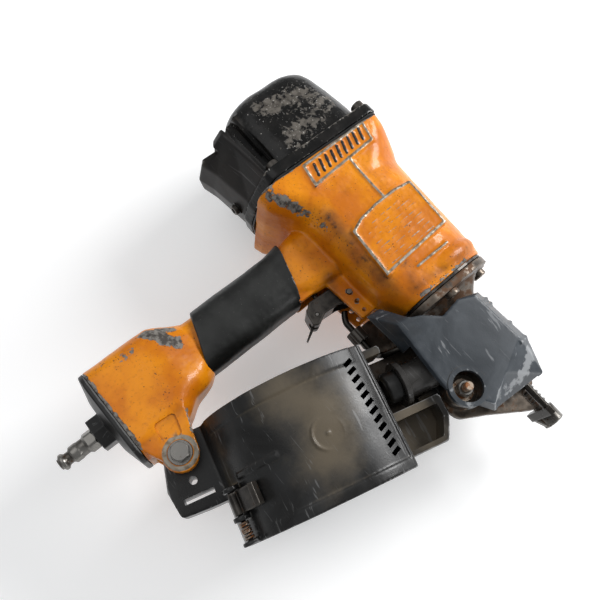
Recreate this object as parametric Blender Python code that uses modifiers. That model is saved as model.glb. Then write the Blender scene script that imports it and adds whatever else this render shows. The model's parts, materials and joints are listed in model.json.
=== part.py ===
"""A coil nailer, built piece by piece in the tool's own frame and then laid on its left side.

Lengths are in millimetres, and MM turns them into metres. In the tool frame, +X points away from the
handle, +Y to the tool's left and +Z along the driver's axis toward the cap. The driver's axis is X = Y = 0.
The magazine has a frame of its own, tilted with the nail strip: +X there points to the nose, and +Z along
the canister's axis.
"""

from math import acos, atan2, cos, degrees, pi, radians, sin

import bmesh
import bpy
from mathutils import Matrix, Vector

MM = 0.001
GAP = 0.3
SEGMENTS = 24
SMALL_SEGMENTS = 12
SHARP_ANGLE = 35.0

# Barrel and cap, along the driver's axis
CAP_TOP = 64.0
CAP_FLOOR = -12.0
GASKET = 2.0
BARREL_TOP = CAP_FLOOR - GASKET
BARREL_BOTTOM = -139.5
BARREL_BORE = 37.0
LABEL_PAD = [(-35.0, -74.0), (-24.0, -70.0), (-8.0, -67.8), (10.0, -67.5), (25.0, -69.5)]
LABEL_PAD += [(23.0, -110.0), (-38.0, -113.5)]
FLANGE_REAR = -71.0
FLANGE_FRONT = 46.0
FLANGE_SIDE = 49.5
CAP_BOLTS = [(39.5, -41.5), (39.5, 41.5), (-43.0, -40.5), (-43.0, 40.5)]
CAP_EAR_TOP = -3.0
CAP_CHAMBER_TOP = 40.0
CAP_BOLT_TIP = -21.0
HOOD_SCREW_Z = 6.0
HOOD_SEAT = -70.5
EXHAUST_Z = 26.0
BOLT_RADIUS = 2.9
BOLT_HOLE = 3.2

# Drive parts
SLEEVE_TOP = 6.0
SLEEVE_BOTTOM = -137.0
SLEEVE_BORE = 27.0
SLEEVE_WALL = 3.0
PISTON_TOP = 0.0
PISTON_HEIGHT = 18.0
BUMPER_TOP = -112.5
BLADE_RADIUS = 3.0
BLADE_TIP = -160.0
VALVE_GUIDE_RADIUS = 22.0
HEAD_VALVE_TOP = 46.0

# Handle and end block
HANDLE_Z = -62.4
HANDLE_HALF_HEIGHT = 19.0
HANDLE_HALF_WIDTH = 15.0
HANDLE_BORE = 12.5
GRIP_WALL = 3.0
GRIP_FRONT = (-71.5, -84.0)
GRIP_REAR = (-150.5, -166.0)
BLOCK_REAR = -230.0
BLOCK_TOP = -33.0
BLOCK_CORNER = 13.0
BLOCK_BOTTOM = -100.0
BLOCK_SIDE = 26.0
END_CAP_TAPER = 7.5
BOSS = (-212.2, -114.9)
BOSS_RADIUS = 11.8
BOSS_SIDE = 25.2
BOSS_INNER = 14.5
END_SCREWS = [-46.0, -92.0]
PLUG_Z = -68.5
PLUG_LENGTH = -27.5

# Trigger group
TRIGGER_PIVOT = (-53.5, -100.0)
PIN_RADIUS = 2.0
LEVER_PIVOT = (-81.0, -97.5)
LEVER_PIN_RADIUS = 1.4
SPARE_PIN_HEIGHTS = [-108.6, -116.6]
TRIGGER_SLOT = 9.3
TRIGGER_SLOT_TOP = -79.5
VALVE_X = -70.5
VALVE_RADIUS = 6.2
VALVE_BOTTOM = -80.5
VALVE_TOP = -52.0
STEM_TIP = -88.6

# Nose
FLANGE_THICK = 6.0
NOSE_TOP = BARREL_BOTTOM - 2.2
LUG_RADIUS = 7.8
LUG_STEP = 0.3
WIRE_GUARD = [(-49.0, -122.2), (-57.0, -122.2), (-66.0, -128.0), (-67.0, -136.0), (-61.0, -143.0)]
WIRE_GUARD += [(-54.0, -157.0), (-42.0, -157.0), (-34.0, -147.0)]
WIRE_GUARD += [(-34.0, -142.5), (-39.8, -142.5), (-43.2, -133.0)]
NOSE_TIP = -252.0
NOSE_TUBE_RADIUS = 5.2
NOSE_BOLT_TIP = -133.5
NOSE_BOLTS = [(38.5, 0.0), (-8.0, -36.8), (-8.0, 36.8)]
DRIVE_CHANNEL = 3.8
NOSE_BOLT = (-48.1, -201.4)
NEAR_ARM = (-21.0, -15.5)
NEAR_BOSS = -29.6

# Contact arm
FOOT_TIP = -262.0
ARM_ROD_X = -66.5
ARM_WIRE_Y = -24.0
ARM_WIRE_RADIUS = 2.4

# Magazine, in its own frame
MAGAZINE_AT = (-138.2, 0.0, -165.0)
MAGAZINE_TILT = 16.1
DRUM_RADIUS = 69.1
DRUM_HALF = 40.2
DRUM_WALL = 3.0
DRUM_FRONT = 38.5
SPLIT = 0.3
REAR_SPLIT = -45.0
EXIT_NEAR = -6.2
EXIT_FAR = 9.7
EXIT_HALF = 33.5
SLOT_COUNT = 12
HINGE = (-47.0, 55.0)
KNUCKLE = 4.0
FEED = (-24.0, 11.0)
FEED_BORE = 9.6
DOOR_HINGE = (106.0, 15.0)
DOOR_PIN_RADIUS = 2.0
DOOR_NEAR = 10.0
DOOR_FAR = 12.5
DOOR_HALF = 33.0
LATCH_POST = (50.0, 0.0)
CATCH_RADIUS = 73.6
CATCH_ANGLE = 207.0
PLATFORM_HEIGHT = -20.0

ORANGE = (0.83, 0.36, 0.03)
BLACK_PAINT = (0.035, 0.034, 0.036)
BLACK_PLASTIC = (0.045, 0.048, 0.055)
RUBBER = (0.02, 0.02, 0.022)
STEEL = (0.45, 0.44, 0.42)
DARK_STEEL = (0.11, 0.10, 0.09)
ALUMINIUM = (0.55, 0.54, 0.52)
RED_SEAL = (0.25, 0.05, 0.03)

FINISHES = {
    "cast_orange": (ORANGE, 0.45, 0.0),
    "cap_black": (BLACK_PAINT, 0.5, 0.0),
    "plastic_black": (BLACK_PLASTIC, 0.55, 0.0),
    "rubber_black": (RUBBER, 0.7, 0.0),
    "steel_bright": (STEEL, 0.35, 1.0),
    "steel_dark": (DARK_STEEL, 0.5, 1.0),
    "aluminium_cast": (ALUMINIUM, 0.45, 1.0),
    "seal_rubber": (RED_SEAL, 0.6, 0.0),
}


def clear_scene():
    for found in list(bpy.data.objects):
        bpy.data.objects.remove(found, do_unlink=True)


def new_collection(name):
    made = bpy.data.collections.new(name)
    bpy.context.scene.collection.children.link(made)
    return made


def make_material(name):
    colour, roughness, metallic = FINISHES[name]
    material = bpy.data.materials.new(name)
    material.use_nodes = True
    shader = material.node_tree.nodes["Principled BSDF"]
    shader.inputs["Base Color"].default_value = (*colour, 1.0)
    shader.inputs["Roughness"].default_value = roughness
    shader.inputs["Metallic"].default_value = metallic
    return material


clear_scene()
PARTS = new_collection("coil_nailer")
CUTTERS = new_collection("cutters")
MATERIALS = {name: make_material(name) for name in FINISHES}


def empty(name, at=(0.0, 0.0, 0.0), parent=None):
    made = bpy.data.objects.new(name, None)
    made.location = Vector(at) * MM
    made.parent = parent
    PARTS.objects.link(made)
    return made


TOOL = empty("tool")
MAGAZINE = empty("magazine", MAGAZINE_AT, TOOL)
MAGAZINE.rotation_euler = (0.0, radians(MAGAZINE_TILT), 0.0)


# Shape helpers: each returns a new object whose mesh is in the frame of its parent


def from_bmesh(shape, name):
    mesh = bpy.data.meshes.new(name)
    bmesh.ops.recalc_face_normals(shape, faces=shape.faces)
    shape.to_mesh(mesh)
    shape.free()
    made = bpy.data.objects.new(name, mesh)
    made.parent = TOOL
    PARTS.objects.link(made)
    return made


def finish(made, material, parent=TOOL, origin=(0.0, 0.0, 0.0)):
    """Gives the object its material, its parent and an origin on its joint's axis."""
    made.data.materials.clear()
    made.data.materials.append(MATERIALS[material])
    made.data.shade_smooth()
    made.data.set_sharp_from_angle(angle=radians(SHARP_ANGLE))
    made.parent = parent
    offset = Vector(origin) * MM
    made.data.transform(Matrix.Translation(-offset))
    made.location = offset
    return made


def block(name, low, high, bevel=0.0, steps=2):
    shape = bmesh.new()
    bmesh.ops.create_cube(shape, size=1.0)
    low, high = Vector(low) * MM, Vector(high) * MM
    size = high - low
    bmesh.ops.scale(shape, vec=size, verts=shape.verts)
    bmesh.ops.translate(shape, vec=(low + high) / 2, verts=shape.verts)
    if bevel:
        bmesh.ops.bevel(
            shape,
            geom=shape.edges,
            offset=bevel * MM,
            segments=steps,
            affect="EDGES",
            clamp_overlap=True,
        )
    return from_bmesh(shape, name)


AXIS_TURNS = {
    "Z": Matrix.Identity(3),
    "X": Matrix(((0, 0, 1), (0, 1, 0), (-1, 0, 0))),
    "Y": Matrix(((1, 0, 0), (0, 0, 1), (0, -1, 0))),
}


def turned(name, profile, at=(0.0, 0.0, 0.0), axis="Z", segments=SEGMENTS):
    """A turned solid. profile lists (radius, height) from the top of its outer side to the bottom."""
    mesh = bpy.data.meshes.new(name)
    points = [(radius * MM, 0.0, height * MM) for radius, height in profile]
    edges = [(i, i + 1) for i in range(len(points) - 1)]
    if profile[0][0] > 0.0:
        edges.append((len(points) - 1, 0))
    mesh.from_pydata(points, edges, [])
    guide = bpy.data.objects.new(name, mesh)
    PARTS.objects.link(guide)
    screw = guide.modifiers.new("turn", "SCREW")
    screw.steps = screw.render_steps = segments
    screw.use_merge_vertices = True
    screw.merge_threshold = 1e-6
    solid = baked(guide, name)
    solid.data.transform(AXIS_TURNS[axis].to_4x4())
    solid.data.transform(Matrix.Translation(Vector(at) * MM))
    return solid


def rod(name, radius, start, end, at=(0.0, 0.0), axis="Z", segments=SEGMENTS):
    """A cylinder from start to end along an axis; at gives its place on the other two axes."""
    centre = {"Z": (at[0], at[1], 0.0), "X": (0.0, at[0], at[1]), "Y": (at[0], 0.0, at[1])}[axis]
    profile = [(0.0, end), (radius, end), (radius, start), (0.0, start)]
    return turned(name, profile, centre, axis, segments)


def ring(name, outer, inner, start, end, at=(0.0, 0.0), axis="Z", segments=SEGMENTS):
    centre = {"Z": (at[0], at[1], 0.0), "X": (0.0, at[0], at[1]), "Y": (at[0], 0.0, at[1])}[axis]
    profile = [(outer, end), (outer, start), (inner, start), (inner, end)]
    return turned(name, profile, centre, axis, segments)


def baked(source, name):
    """The evaluated mesh of a curve or a modified object, welded, as a new object. The source is removed."""
    graph = bpy.context.evaluated_depsgraph_get()
    mesh = bpy.data.meshes.new_from_object(source.evaluated_get(graph))
    place = source.matrix_world.copy()
    bpy.data.objects.remove(source, do_unlink=True)
    shape = bmesh.new()
    shape.from_mesh(mesh)
    bmesh.ops.remove_doubles(shape, verts=shape.verts, dist=1e-6)
    bmesh.ops.dissolve_degenerate(shape, edges=shape.edges, dist=1e-7)
    bpy.data.meshes.remove(mesh)
    made = from_bmesh(shape, name)
    made.data.transform(place)
    return made


def arc(centre, radius, start, end, steps=6):
    """Points on an arc, from start to end in degrees."""
    turns = [radians(start + (end - start) * i / steps) for i in range(steps + 1)]
    return [(centre[0] + radius * cos(t), centre[1] + radius * sin(t)) for t in turns]


def rounded(corners, radius, steps=3):
    """The outline with each corner replaced by an arc. A corner may carry its own radius as a third value."""
    points = []
    count = len(corners)
    for i, corner in enumerate(corners):
        here = Vector(corner[:2])
        before = (Vector(corners[i - 1][:2]) - here).normalized()
        after = (Vector(corners[(i + 1) % count][:2]) - here).normalized()
        half = before.angle(after) / 2
        size = corner[2] if len(corner) > 2 else radius
        if size < 0.05:
            points.append(tuple(here))
            continue
        reach = size / (sin(half) / cos(half))
        bisector = (before + after).normalized()
        centre = here + bisector * (size / sin(half))
        first = here + before * reach - centre
        last = here + after * reach - centre
        start = atan2(first.y, first.x)
        sweep = (atan2(last.y, last.x) - start + pi) % (2 * pi) - pi
        for step in range(steps + 1):
            turn = start + sweep * step / steps
            points.append((centre.x + size * cos(turn), centre.y + size * sin(turn)))
    return points


PLANES = {
    "Z": Matrix.Identity(3),
    "Y": Matrix(((1, 0, 0), (0, 0, 1), (0, 1, 0))),
    "X": Matrix(((0, 0, 1), (1, 0, 0), (0, 1, 0))),
}


def plate(name, outline, low, high, axis="Z"):
    """A flat outline made solid from low to high along an axis. The outline is in (X, Y), (X, Z) or (Y, Z)."""
    curve = bpy.data.curves.new(name, "CURVE")
    curve.dimensions = "2D"
    curve.fill_mode = "BOTH"
    curve.extrude = (high - low) / 2 * MM
    spline = curve.splines.new("POLY")
    spline.points.add(len(outline) - 1)
    for point, (x, y) in zip(spline.points, outline):
        point.co = (x * MM, y * MM, 0.0, 1.0)
    spline.use_cyclic_u = True
    guide = bpy.data.objects.new(name, curve)
    PARTS.objects.link(guide)
    solid = baked(guide, name)
    solid.data.transform(Matrix.Translation((0.0, 0.0, (low + high) / 2 * MM)))
    solid.data.transform(PLANES[axis].to_4x4())
    tidy_normals(solid)
    return solid


def tidy_normals(made):
    shape = bmesh.new()
    shape.from_mesh(made.data)
    bmesh.ops.recalc_face_normals(shape, faces=shape.faces)
    shape.to_mesh(made.data)
    shape.free()


def section(low, high, radius, steps=4):
    """A rounded rectangle between two corners, as points in its plane."""
    (x0, y0), (x1, y1) = low, high
    return rounded([(x0, y0), (x1, y0), (x1, y1), (x0, y1)], radius, steps)


def bellied(rear, front, side, rear_corner, front_corner):
    """A barrel's section: a rectangle whose front corners are rounder than its rear ones."""
    corners = [(rear, -side, rear_corner), (front, -side, front_corner)]
    corners += [(front, side, front_corner), (rear, side, rear_corner)]
    return rounded(corners, rear_corner, 6)


def loft(name, stations, axis="Z"):
    """A solid through sections of equal point counts. stations lists (height along the axis, points)."""
    shape = bmesh.new()
    rings = []
    for height, points in stations:
        placed = [PLANES[axis] @ Vector((x, y, height)) * MM for x, y in points]
        rings.append([shape.verts.new(point) for point in placed])
    for lower, upper in zip(rings, rings[1:]):
        for i in range(len(lower)):
            k = (i + 1) % len(lower)
            shape.faces.new((lower[i], lower[k], upper[k], upper[i]))
    bmesh.ops.triangulate(shape, faces=shape.faces)
    shape.faces.new(rings[0])
    shape.faces.new(rings[-1])
    return from_bmesh(shape, name)


def tube(name, points, radius, closed=False, resolution=2):
    """A round wire along points."""
    curve = bpy.data.curves.new(name, "CURVE")
    curve.dimensions = "3D"
    curve.bevel_depth = radius * MM
    curve.bevel_resolution = resolution
    curve.use_fill_caps = True
    spline = curve.splines.new("POLY")
    spline.points.add(len(points) - 1)
    for point, place in zip(spline.points, points):
        point.co = (*(Vector(place) * MM), 1.0)
    spline.use_cyclic_u = closed
    guide = bpy.data.objects.new(name, curve)
    PARTS.objects.link(guide)
    return baked(guide, name)


def coil_points(radius, start, end, turns, at=(0.0, 0.0, 0.0), axis="Z", per_turn=12):
    """Points on a compression spring, with its end turns nearly closed."""
    count = round(turns * per_turn)
    points = []
    for i in range(count + 1):
        share = i / count
        eased = share - sin(4 * pi * share) / (4 * pi) * 0.45
        turn = 2 * pi * i / per_turn
        local = Vector((radius * cos(turn), radius * sin(turn), start + (end - start) * eased))
        points.append(AXIS_TURNS[axis] @ local + Vector(at))
    return points


def change(target, tool, operation):
    modifier = target.modifiers.new(tool.name, "BOOLEAN")
    modifier.operation = operation
    modifier.object = tool
    tool.hide_render = True
    tool.display_type = "WIRE"
    tool.parent = target.parent
    PARTS.objects.unlink(tool)
    CUTTERS.objects.link(tool)


def cut(target, *tools):
    for tool in tools:
        change(target, tool, "DIFFERENCE")


def join(target, *tools):
    for tool in tools:
        change(target, tool, "UNION")


# Casings


def flange_outline(inset=0.0):
    """The joint between barrel and cap: a rounded square with a bulged rear for the exhaust."""
    side = FLANGE_SIDE - inset
    front = FLANGE_FRONT - inset
    rear = FLANGE_REAR + inset
    half = [
        (rear, 0.0, 0.0),
        (rear + 3.0, 18.0, 6.0),
        (-53.0 + inset, side, 9.0),
        (front, side, 8.0),
    ]
    corners = [(x, -y, r) for x, y, r in half] + [(x, y, r) for x, y, r in reversed(half[1:])]
    return rounded(corners, 8.0)


def barrel_stations():
    """The barrel's height and section, from its bottom flange up to the cap joint."""
    return [
        (BARREL_BOTTOM, bellied(-38.0, 40.5, 43.0, 17.0, 36.0)),
        (BARREL_BOTTOM + 7.0, bellied(-41.0, 42.5, 44.5, 18.0, 39.0)),
        (-118.0, bellied(-47.0, 43.5, 45.0, 19.0, 41.0)),
        (-48.0, bellied(-50.0, 45.5, 45.5, 20.0, 40.0)),
        (-38.0, bellied(-55.0, 46.5, 46.5, 18.0, 30.0)),
        (-22.0, bellied(-67.0, 46.5, 48.5, 14.0, 15.0)),
        (BARREL_TOP, bellied(-68.5, 46.0, FLANGE_SIDE, 12.0, 12.0)),
    ]


def handle_stations(grow=0.0):
    """The hollow handle inside the rubber sleeve, flaring where it meets the barrel."""
    wide, tall = HANDLE_HALF_WIDTH + grow, HANDLE_HALF_HEIGHT + grow
    return [
        (x, section((-width, HANDLE_Z - low), (width, HANDLE_Z + high), 10.0 + grow))
        for x, width, low, high in (
            (-30.0, wide + 5.0, tall + 6.0, tall + 6.0),
            (-60.0, wide + 4.0, tall + 5.0, tall + 4.5),
            (-72.0, wide + 2.5, tall + 3.7, tall + 2.0),
            (-86.0, wide, tall, tall),
            (-166.0, wide, tall, tall),
        )
    ]


def end_block_stations(grow=0.0):
    """The block behind the handle, which carries the air inlet and the rear of the magazine."""
    return [
        (x, section((-width - grow, low - grow), (width + grow, high + grow), BLOCK_CORNER + grow))
        for x, width, low, high in (
            (-160.0, HANDLE_HALF_WIDTH - 0.4, -83.0, -42.0),
            (-169.0, 19.0, -89.0, -38.5),
            (-182.0, 24.5, -92.0, BLOCK_TOP),
            (-196.0, BLOCK_SIDE, BLOCK_BOTTOM, BLOCK_TOP),
            (BLOCK_REAR, BLOCK_SIDE, BLOCK_BOTTOM - 5.0, BLOCK_TOP),
        )
    ]


def make_housing():
    """The one-piece body casting: barrel, handle core, end block, bosses and trigger cheeks."""
    housing = loft("housing", barrel_stations())
    core = loft("handle_core", handle_stations(), "X")
    end_block = loft("end_block", end_block_stations(), "X")
    join(housing, core, end_block)
    join(housing, plate("label_pad", LABEL_PAD, -45.8, -25.0, "Y"))
    join(housing, rod("front_lug", LUG_RADIUS, BARREL_BOTTOM + LUG_STEP, -125.0, NOSE_BOLTS[0], segments=24))
    boss_outline = [(-190.5, -86.0), (-229.5, -98.0)]
    boss_outline += arc(BOSS, BOSS_RADIUS, 165.0, 335.0, 8)
    cheek = rounded([(-42.0, -80.0), (-63.0, -84.0), (-59.0, -121.0), (-42.0, -121.0)], 1.5)
    for side in (-1, 1):
        low, high = sorted((side * BOSS_INNER, side * BOSS_SIDE))
        join(housing, plate(f"boss_{side}", boss_outline, low, high, "Y"))
        low, high = sorted((side * TRIGGER_SLOT, side * 13.0))
        join(housing, plate(f"cheek_{side}", cheek, low, high, "Y"))
    join(housing, block("valve_lobe", (-85.5, -12.8, -84.5), (-58.0, 12.8, -60.0), 3.5))
    cut_housing(housing)
    return finish(housing, "cast_orange")


def cut_housing(housing):
    bore = rod("barrel_bore", BARREL_BORE, BARREL_BOTTOM + 7.0, 10.0)
    neck_bore = rod("neck_bore", 31.0, BARREL_BOTTOM - 5.0, 10.0)
    reservoir = rod("reservoir", HANDLE_BORE, BLOCK_REAR - 5.0, -20.0, (0.0, HANDLE_Z), "X")
    end_hollow = loft(
        "end_hollow",
        [
            (-188.0, section((-12.0, HANDLE_Z - 10.0), (12.0, HANDLE_Z + 10.0), 6.0)),
            (-200.0, section((-21.0, BLOCK_BOTTOM + 7.0), (21.0, BLOCK_TOP - 5.0), 6.0)),
            (BLOCK_REAR - 4.0, section((-21.0, BLOCK_BOTTOM + 5.0), (21.0, BLOCK_TOP - 5.0), 6.0)),
        ],
        "X",
    )
    slot = block("trigger_slot", (-92.0, -TRIGGER_SLOT, -125.0), (-50.3, TRIGGER_SLOT, TRIGGER_SLOT_TOP))
    valve_bore = rod("valve_bore", VALVE_RADIUS + GAP, -100.0, VALVE_TOP + 2.0, (VALVE_X, 0.0), segments=20)
    boss_hole = rod("boss_hole", BOLT_HOLE, -40.0, 40.0, BOSS, "Y", SMALL_SEGMENTS)
    pivot_hole = rod("pivot_hole", PIN_RADIUS + GAP, -20.0, 20.0, TRIGGER_PIVOT, "Y", SMALL_SEGMENTS)
    cut(housing, bore, neck_bore, reservoir, end_hollow, slot, valve_bore, boss_hole, pivot_hole)
    for i, (x, y) in enumerate(CAP_BOLTS):
        thread = rod(f"cap_thread_{i}", BOLT_HOLE, CAP_BOLT_TIP - 1.0, 10.0, (x, y), segments=SMALL_SEGMENTS)
        cut(housing, thread)
    for i, (x, y) in enumerate(NOSE_BOLTS):
        low, high = BARREL_BOTTOM - 4.0, NOSE_BOLT_TIP + 0.5
        cut(housing, rod(f"nose_thread_{i}", BOLT_HOLE, low, high, (x, y), segments=SMALL_SEGMENTS))
    for i, z in enumerate(SPARE_PIN_HEIGHTS):
        cut(housing, rod(f"spare_pin_{i}", 1.6, -20.0, 20.0, (TRIGGER_PIVOT[0] - 0.5, z), "Y", 10))
    for i, z in enumerate(END_SCREWS):
        cut(housing, rod(f"end_thread_{i}", 2.3, BLOCK_REAR - 4.0, BLOCK_REAR + 12.0, (0.0, z), "X", 10))


def make_cap():
    flange = plate("cap", flange_outline(), CAP_FLOOR, CAP_EAR_TOP)
    dome = loft(
        "dome",
        [
            (height, section((rear, -side), (front, side), corner))
            for height, rear, front, side, corner in (
                (CAP_EAR_TOP - 1.0, -50.0, 43.0, 45.5, 27.0),
                (22.0, -49.0, 41.0, 44.5, 26.5),
                (46.0, -46.0, 37.5, 42.5, 25.0),
                (54.0, -43.0, 34.5, 40.0, 24.0),
                (59.0, -38.0, 30.0, 35.5, 22.0),
                (62.5, -30.0, 23.0, 28.0, 18.0),
                (CAP_TOP, -20.0, 14.0, 18.0, 12.0),
            )
        ],
    )
    join(flange, dome)
    chamber = rod("chamber", BARREL_BORE - 0.5, CAP_FLOOR - 5.0, CAP_CHAMBER_TOP)
    guide = rod("guide", VALVE_GUIDE_RADIUS + 0.5, CAP_FLOOR, CAP_TOP - 8.5)
    port = rod("port", 9.0, -90.0, -20.0, (0.0, EXHAUST_Z), "X", SMALL_SEGMENTS)
    hood_thread = rod("hood_thread", 2.4, -60.0, -30.0, (0.0, HOOD_SCREW_Z), "X", 10)
    cut(flange, chamber, guide, port, hood_thread)
    for i, (x, y) in enumerate(CAP_BOLTS):
        cut(flange, rod(f"cap_hole_{i}", BOLT_HOLE, -40.0, 20.0, (x, y), segments=SMALL_SEGMENTS))
        cut(flange, rod(f"cap_well_{i}", 6.2, CAP_EAR_TOP, 80.0, (x, y), segments=SMALL_SEGMENTS))
    return finish(flange, "cap_black")


def make_cap_gasket():
    gasket = plate("cap_gasket", flange_outline(0.8), BARREL_TOP + GAP, CAP_FLOOR - GAP)
    cut(gasket, rod("gasket_bore", BARREL_BORE, -30.0, 10.0))
    for i, (x, y) in enumerate(CAP_BOLTS):
        cut(gasket, rod(f"gasket_hole_{i}", BOLT_HOLE, -30.0, 10.0, (x, y), segments=SMALL_SEGMENTS))
    return finish(gasket, "rubber_black")


def hood_section(corner, side, rear_corner, rear):
    """The hood's plan, which bulges to the rear. It runs well inside the cap, and is cut off there."""
    half = [(rear, 0.0, 0.0), (rear_corner, 17.0, 5.0), (corner, side, 4.0), (-30.0, side, 0.0)]
    return rounded([(x, -y, r) for x, y, r in half] + [(x, y, r) for x, y, r in reversed(half[1:])], 4.0)


def make_exhaust_hood():
    base = CAP_EAR_TOP + GAP
    outside = [
        (base, hood_section(-52.0, 44.0, -66.5, -69.0)),
        (30.0, hood_section(-53.5, 41.0, -70.5, -73.5)),
        (43.0, hood_section(-54.5, 39.5, -74.0, -77.5)),
        (48.0, hood_section(-52.5, 37.5, -69.0, -72.0)),
    ]
    inside = [
        (base - 8.0, hood_section(-50.5, 40.5, -63.0, -65.5)),
        (30.0, hood_section(-51.5, 37.5, -67.0, -70.0)),
        (42.0, hood_section(-51.5, 35.5, -63.0, -66.0)),
    ]
    hood = loft("exhaust_hood", outside)
    hollow = loft("hood_hollow", inside)
    screw_post = rod("screw_post", 5.0, HOOD_SEAT, -53.0, (0.0, HOOD_SCREW_Z), "X", SMALL_SEGMENTS)
    screw_hole = rod("screw_hole", 2.6, -90.0, -40.0, (0.0, HOOD_SCREW_Z), "X", 10)
    cut(hood, hollow, block("hood_mouth", (-51.6, -60.0, -20.0), (-20.0, 60.0, 60.0)))
    join(hood, screw_post)
    cut(hood, screw_hole)
    for y in (-22.0, 0.0, 22.0):
        outlet = block(f"outlet_{y:.0f}", (-71.0, y - 8.0, 38.0), (-58.0, y + 8.0, 60.0))
        cut(hood, outlet)
    return finish(hood, "cap_black")


def cap_screw(name, at, seat, tip, axis="Z", radius=BOLT_RADIUS, head=(4.9, 5.5)):
    """A socket-head cap screw. seat is where the underside of its head rests, and tip is its far end."""
    head_radius, head_height = head
    away = 1.0 if seat > tip else -1.0
    top = seat + away * head_height
    outer = [(0.0, top), (head_radius, top), (head_radius, seat + away * GAP), (radius, seat + away * GAP)]
    outer += [(radius, tip), (0.0, tip)]
    centre = {"Z": (*at, 0.0), "X": (0.0, *at), "Y": (at[0], 0.0, at[1])}[axis]
    screw = turned(name, outer, centre, axis, SMALL_SEGMENTS)
    socket_low, socket_high = sorted((top - away * head_height * 0.55, top + away))
    cut(screw, rod(f"{name}_socket", head_radius * 0.55, socket_low, socket_high, at, axis, 6))
    return finish(screw, "steel_dark")


def make_cap_bolts():
    for i, at in enumerate(CAP_BOLTS):
        cap_screw(f"cap_bolt_{i + 1}", at, CAP_EAR_TOP, CAP_BOLT_TIP)
    cap_screw("hood_screw", (0.0, HOOD_SCREW_Z), HOOD_SEAT, -42.0, axis="X", radius=2.1, head=(4.0, 3.0))


# Drive


def make_sleeve():
    outer = SLEEVE_BORE + SLEEVE_WALL
    collar = BARREL_BORE - GAP
    profile = [
        (outer, SLEEVE_TOP),
        (outer, -38.0),
        (collar, -38.0),
        (collar, -45.0),
        (outer, -45.0),
        (outer, SLEEVE_BOTTOM),
        (SLEEVE_BORE, SLEEVE_BOTTOM),
        (SLEEVE_BORE, SLEEVE_TOP),
    ]
    return finish(turned("cylinder_sleeve", profile), "aluminium_cast")


def make_piston():
    radius = SLEEVE_BORE - GAP
    low = PISTON_TOP - PISTON_HEIGHT
    groove = radius - 2.6
    profile = [
        (0.0, PISTON_TOP - 3.0),
        (18.0, PISTON_TOP - 3.0),
        (20.0, PISTON_TOP),
        (radius, PISTON_TOP),
        (radius, PISTON_TOP - 6.5),
        (groove, PISTON_TOP - 6.5),
        (groove, PISTON_TOP - 10.5),
        (radius, PISTON_TOP - 10.5),
        (radius, low),
        (BLADE_RADIUS + GAP, low),
        (BLADE_RADIUS + GAP, low + 9.0),
        (0.0, low + 9.0),
    ]
    finish(turned("piston", profile), "aluminium_cast")
    seal = [(radius, -7.1), (radius, -9.9), (groove + GAP, -9.9), (groove + GAP, -7.1)]
    finish(turned("piston_ring", seal), "seal_rubber")
    blade = rod("driver_blade", BLADE_RADIUS, BLADE_TIP, low + 8.4, segments=SMALL_SEGMENTS)
    finish(blade, "steel_bright")


def make_bumper():
    outer = SLEEVE_BORE - GAP
    inner = BLADE_RADIUS + 1.4
    profile = [
        (outer - 3.0, BUMPER_TOP),
        (outer, BUMPER_TOP - 9.0),
        (outer, NOSE_TOP + GAP),
        (inner, NOSE_TOP + GAP),
        (inner, BUMPER_TOP),
    ]
    return finish(turned("bumper", profile), "rubber_black")


def make_head_valve():
    base = SLEEVE_TOP + GAP
    disk = BARREL_BORE - 2.5
    profile = [
        (VALVE_GUIDE_RADIUS, HEAD_VALVE_TOP),
        (VALVE_GUIDE_RADIUS, base + 6.0),
        (disk, base + 6.0),
        (disk, base),
        (19.0, base),
        (19.0, HEAD_VALVE_TOP),
    ]
    finish(turned("head_valve", profile), "plastic_black")
    coil = coil_points(VALVE_GUIDE_RADIUS + 3.2, base + 7.6, CAP_CHAMBER_TOP - 1.6, 4, per_turn=9)
    finish(tube("head_valve_spring", coil, 1.2, resolution=0), "steel_bright")


# Handle


def make_grip():
    """The rubber sleeve over the handle core, cut off slanting at both ends."""
    grip = loft("grip_sleeve", handle_stations(GRIP_WALL), "X")
    core = loft("grip_core", [(x * 1.02 + 1.4, points) for x, points in handle_stations(GAP)], "X")
    cut(grip, core, loft("block_clearance", end_block_stations(GAP), "X"))
    reach = 80.0
    front = [
        grip_edge(GRIP_FRONT, HANDLE_Z + reach),
        grip_edge(GRIP_FRONT, HANDLE_Z - reach),
        (0.0, HANDLE_Z - reach),
        (0.0, HANDLE_Z + reach),
    ]
    rear = [
        grip_edge(GRIP_REAR, HANDLE_Z + reach),
        (-260.0, HANDLE_Z + reach),
        (-260.0, HANDLE_Z - reach),
        grip_edge(GRIP_REAR, HANDLE_Z - reach),
    ]
    cut(grip, plate("grip_front", front, -40.0, 40.0, "Y"), plate("grip_rear", rear, -40.0, 40.0, "Y"))
    return finish(grip, "rubber_black")


def grip_edge(ends, height):
    """The point at a height on the slanted edge that passes through its top and bottom X."""
    top, bottom = ends
    share = (height - HANDLE_Z) / (2.0 * HANDLE_HALF_HEIGHT)
    return ((top + bottom) / 2 + (top - bottom) * share, height)


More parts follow.
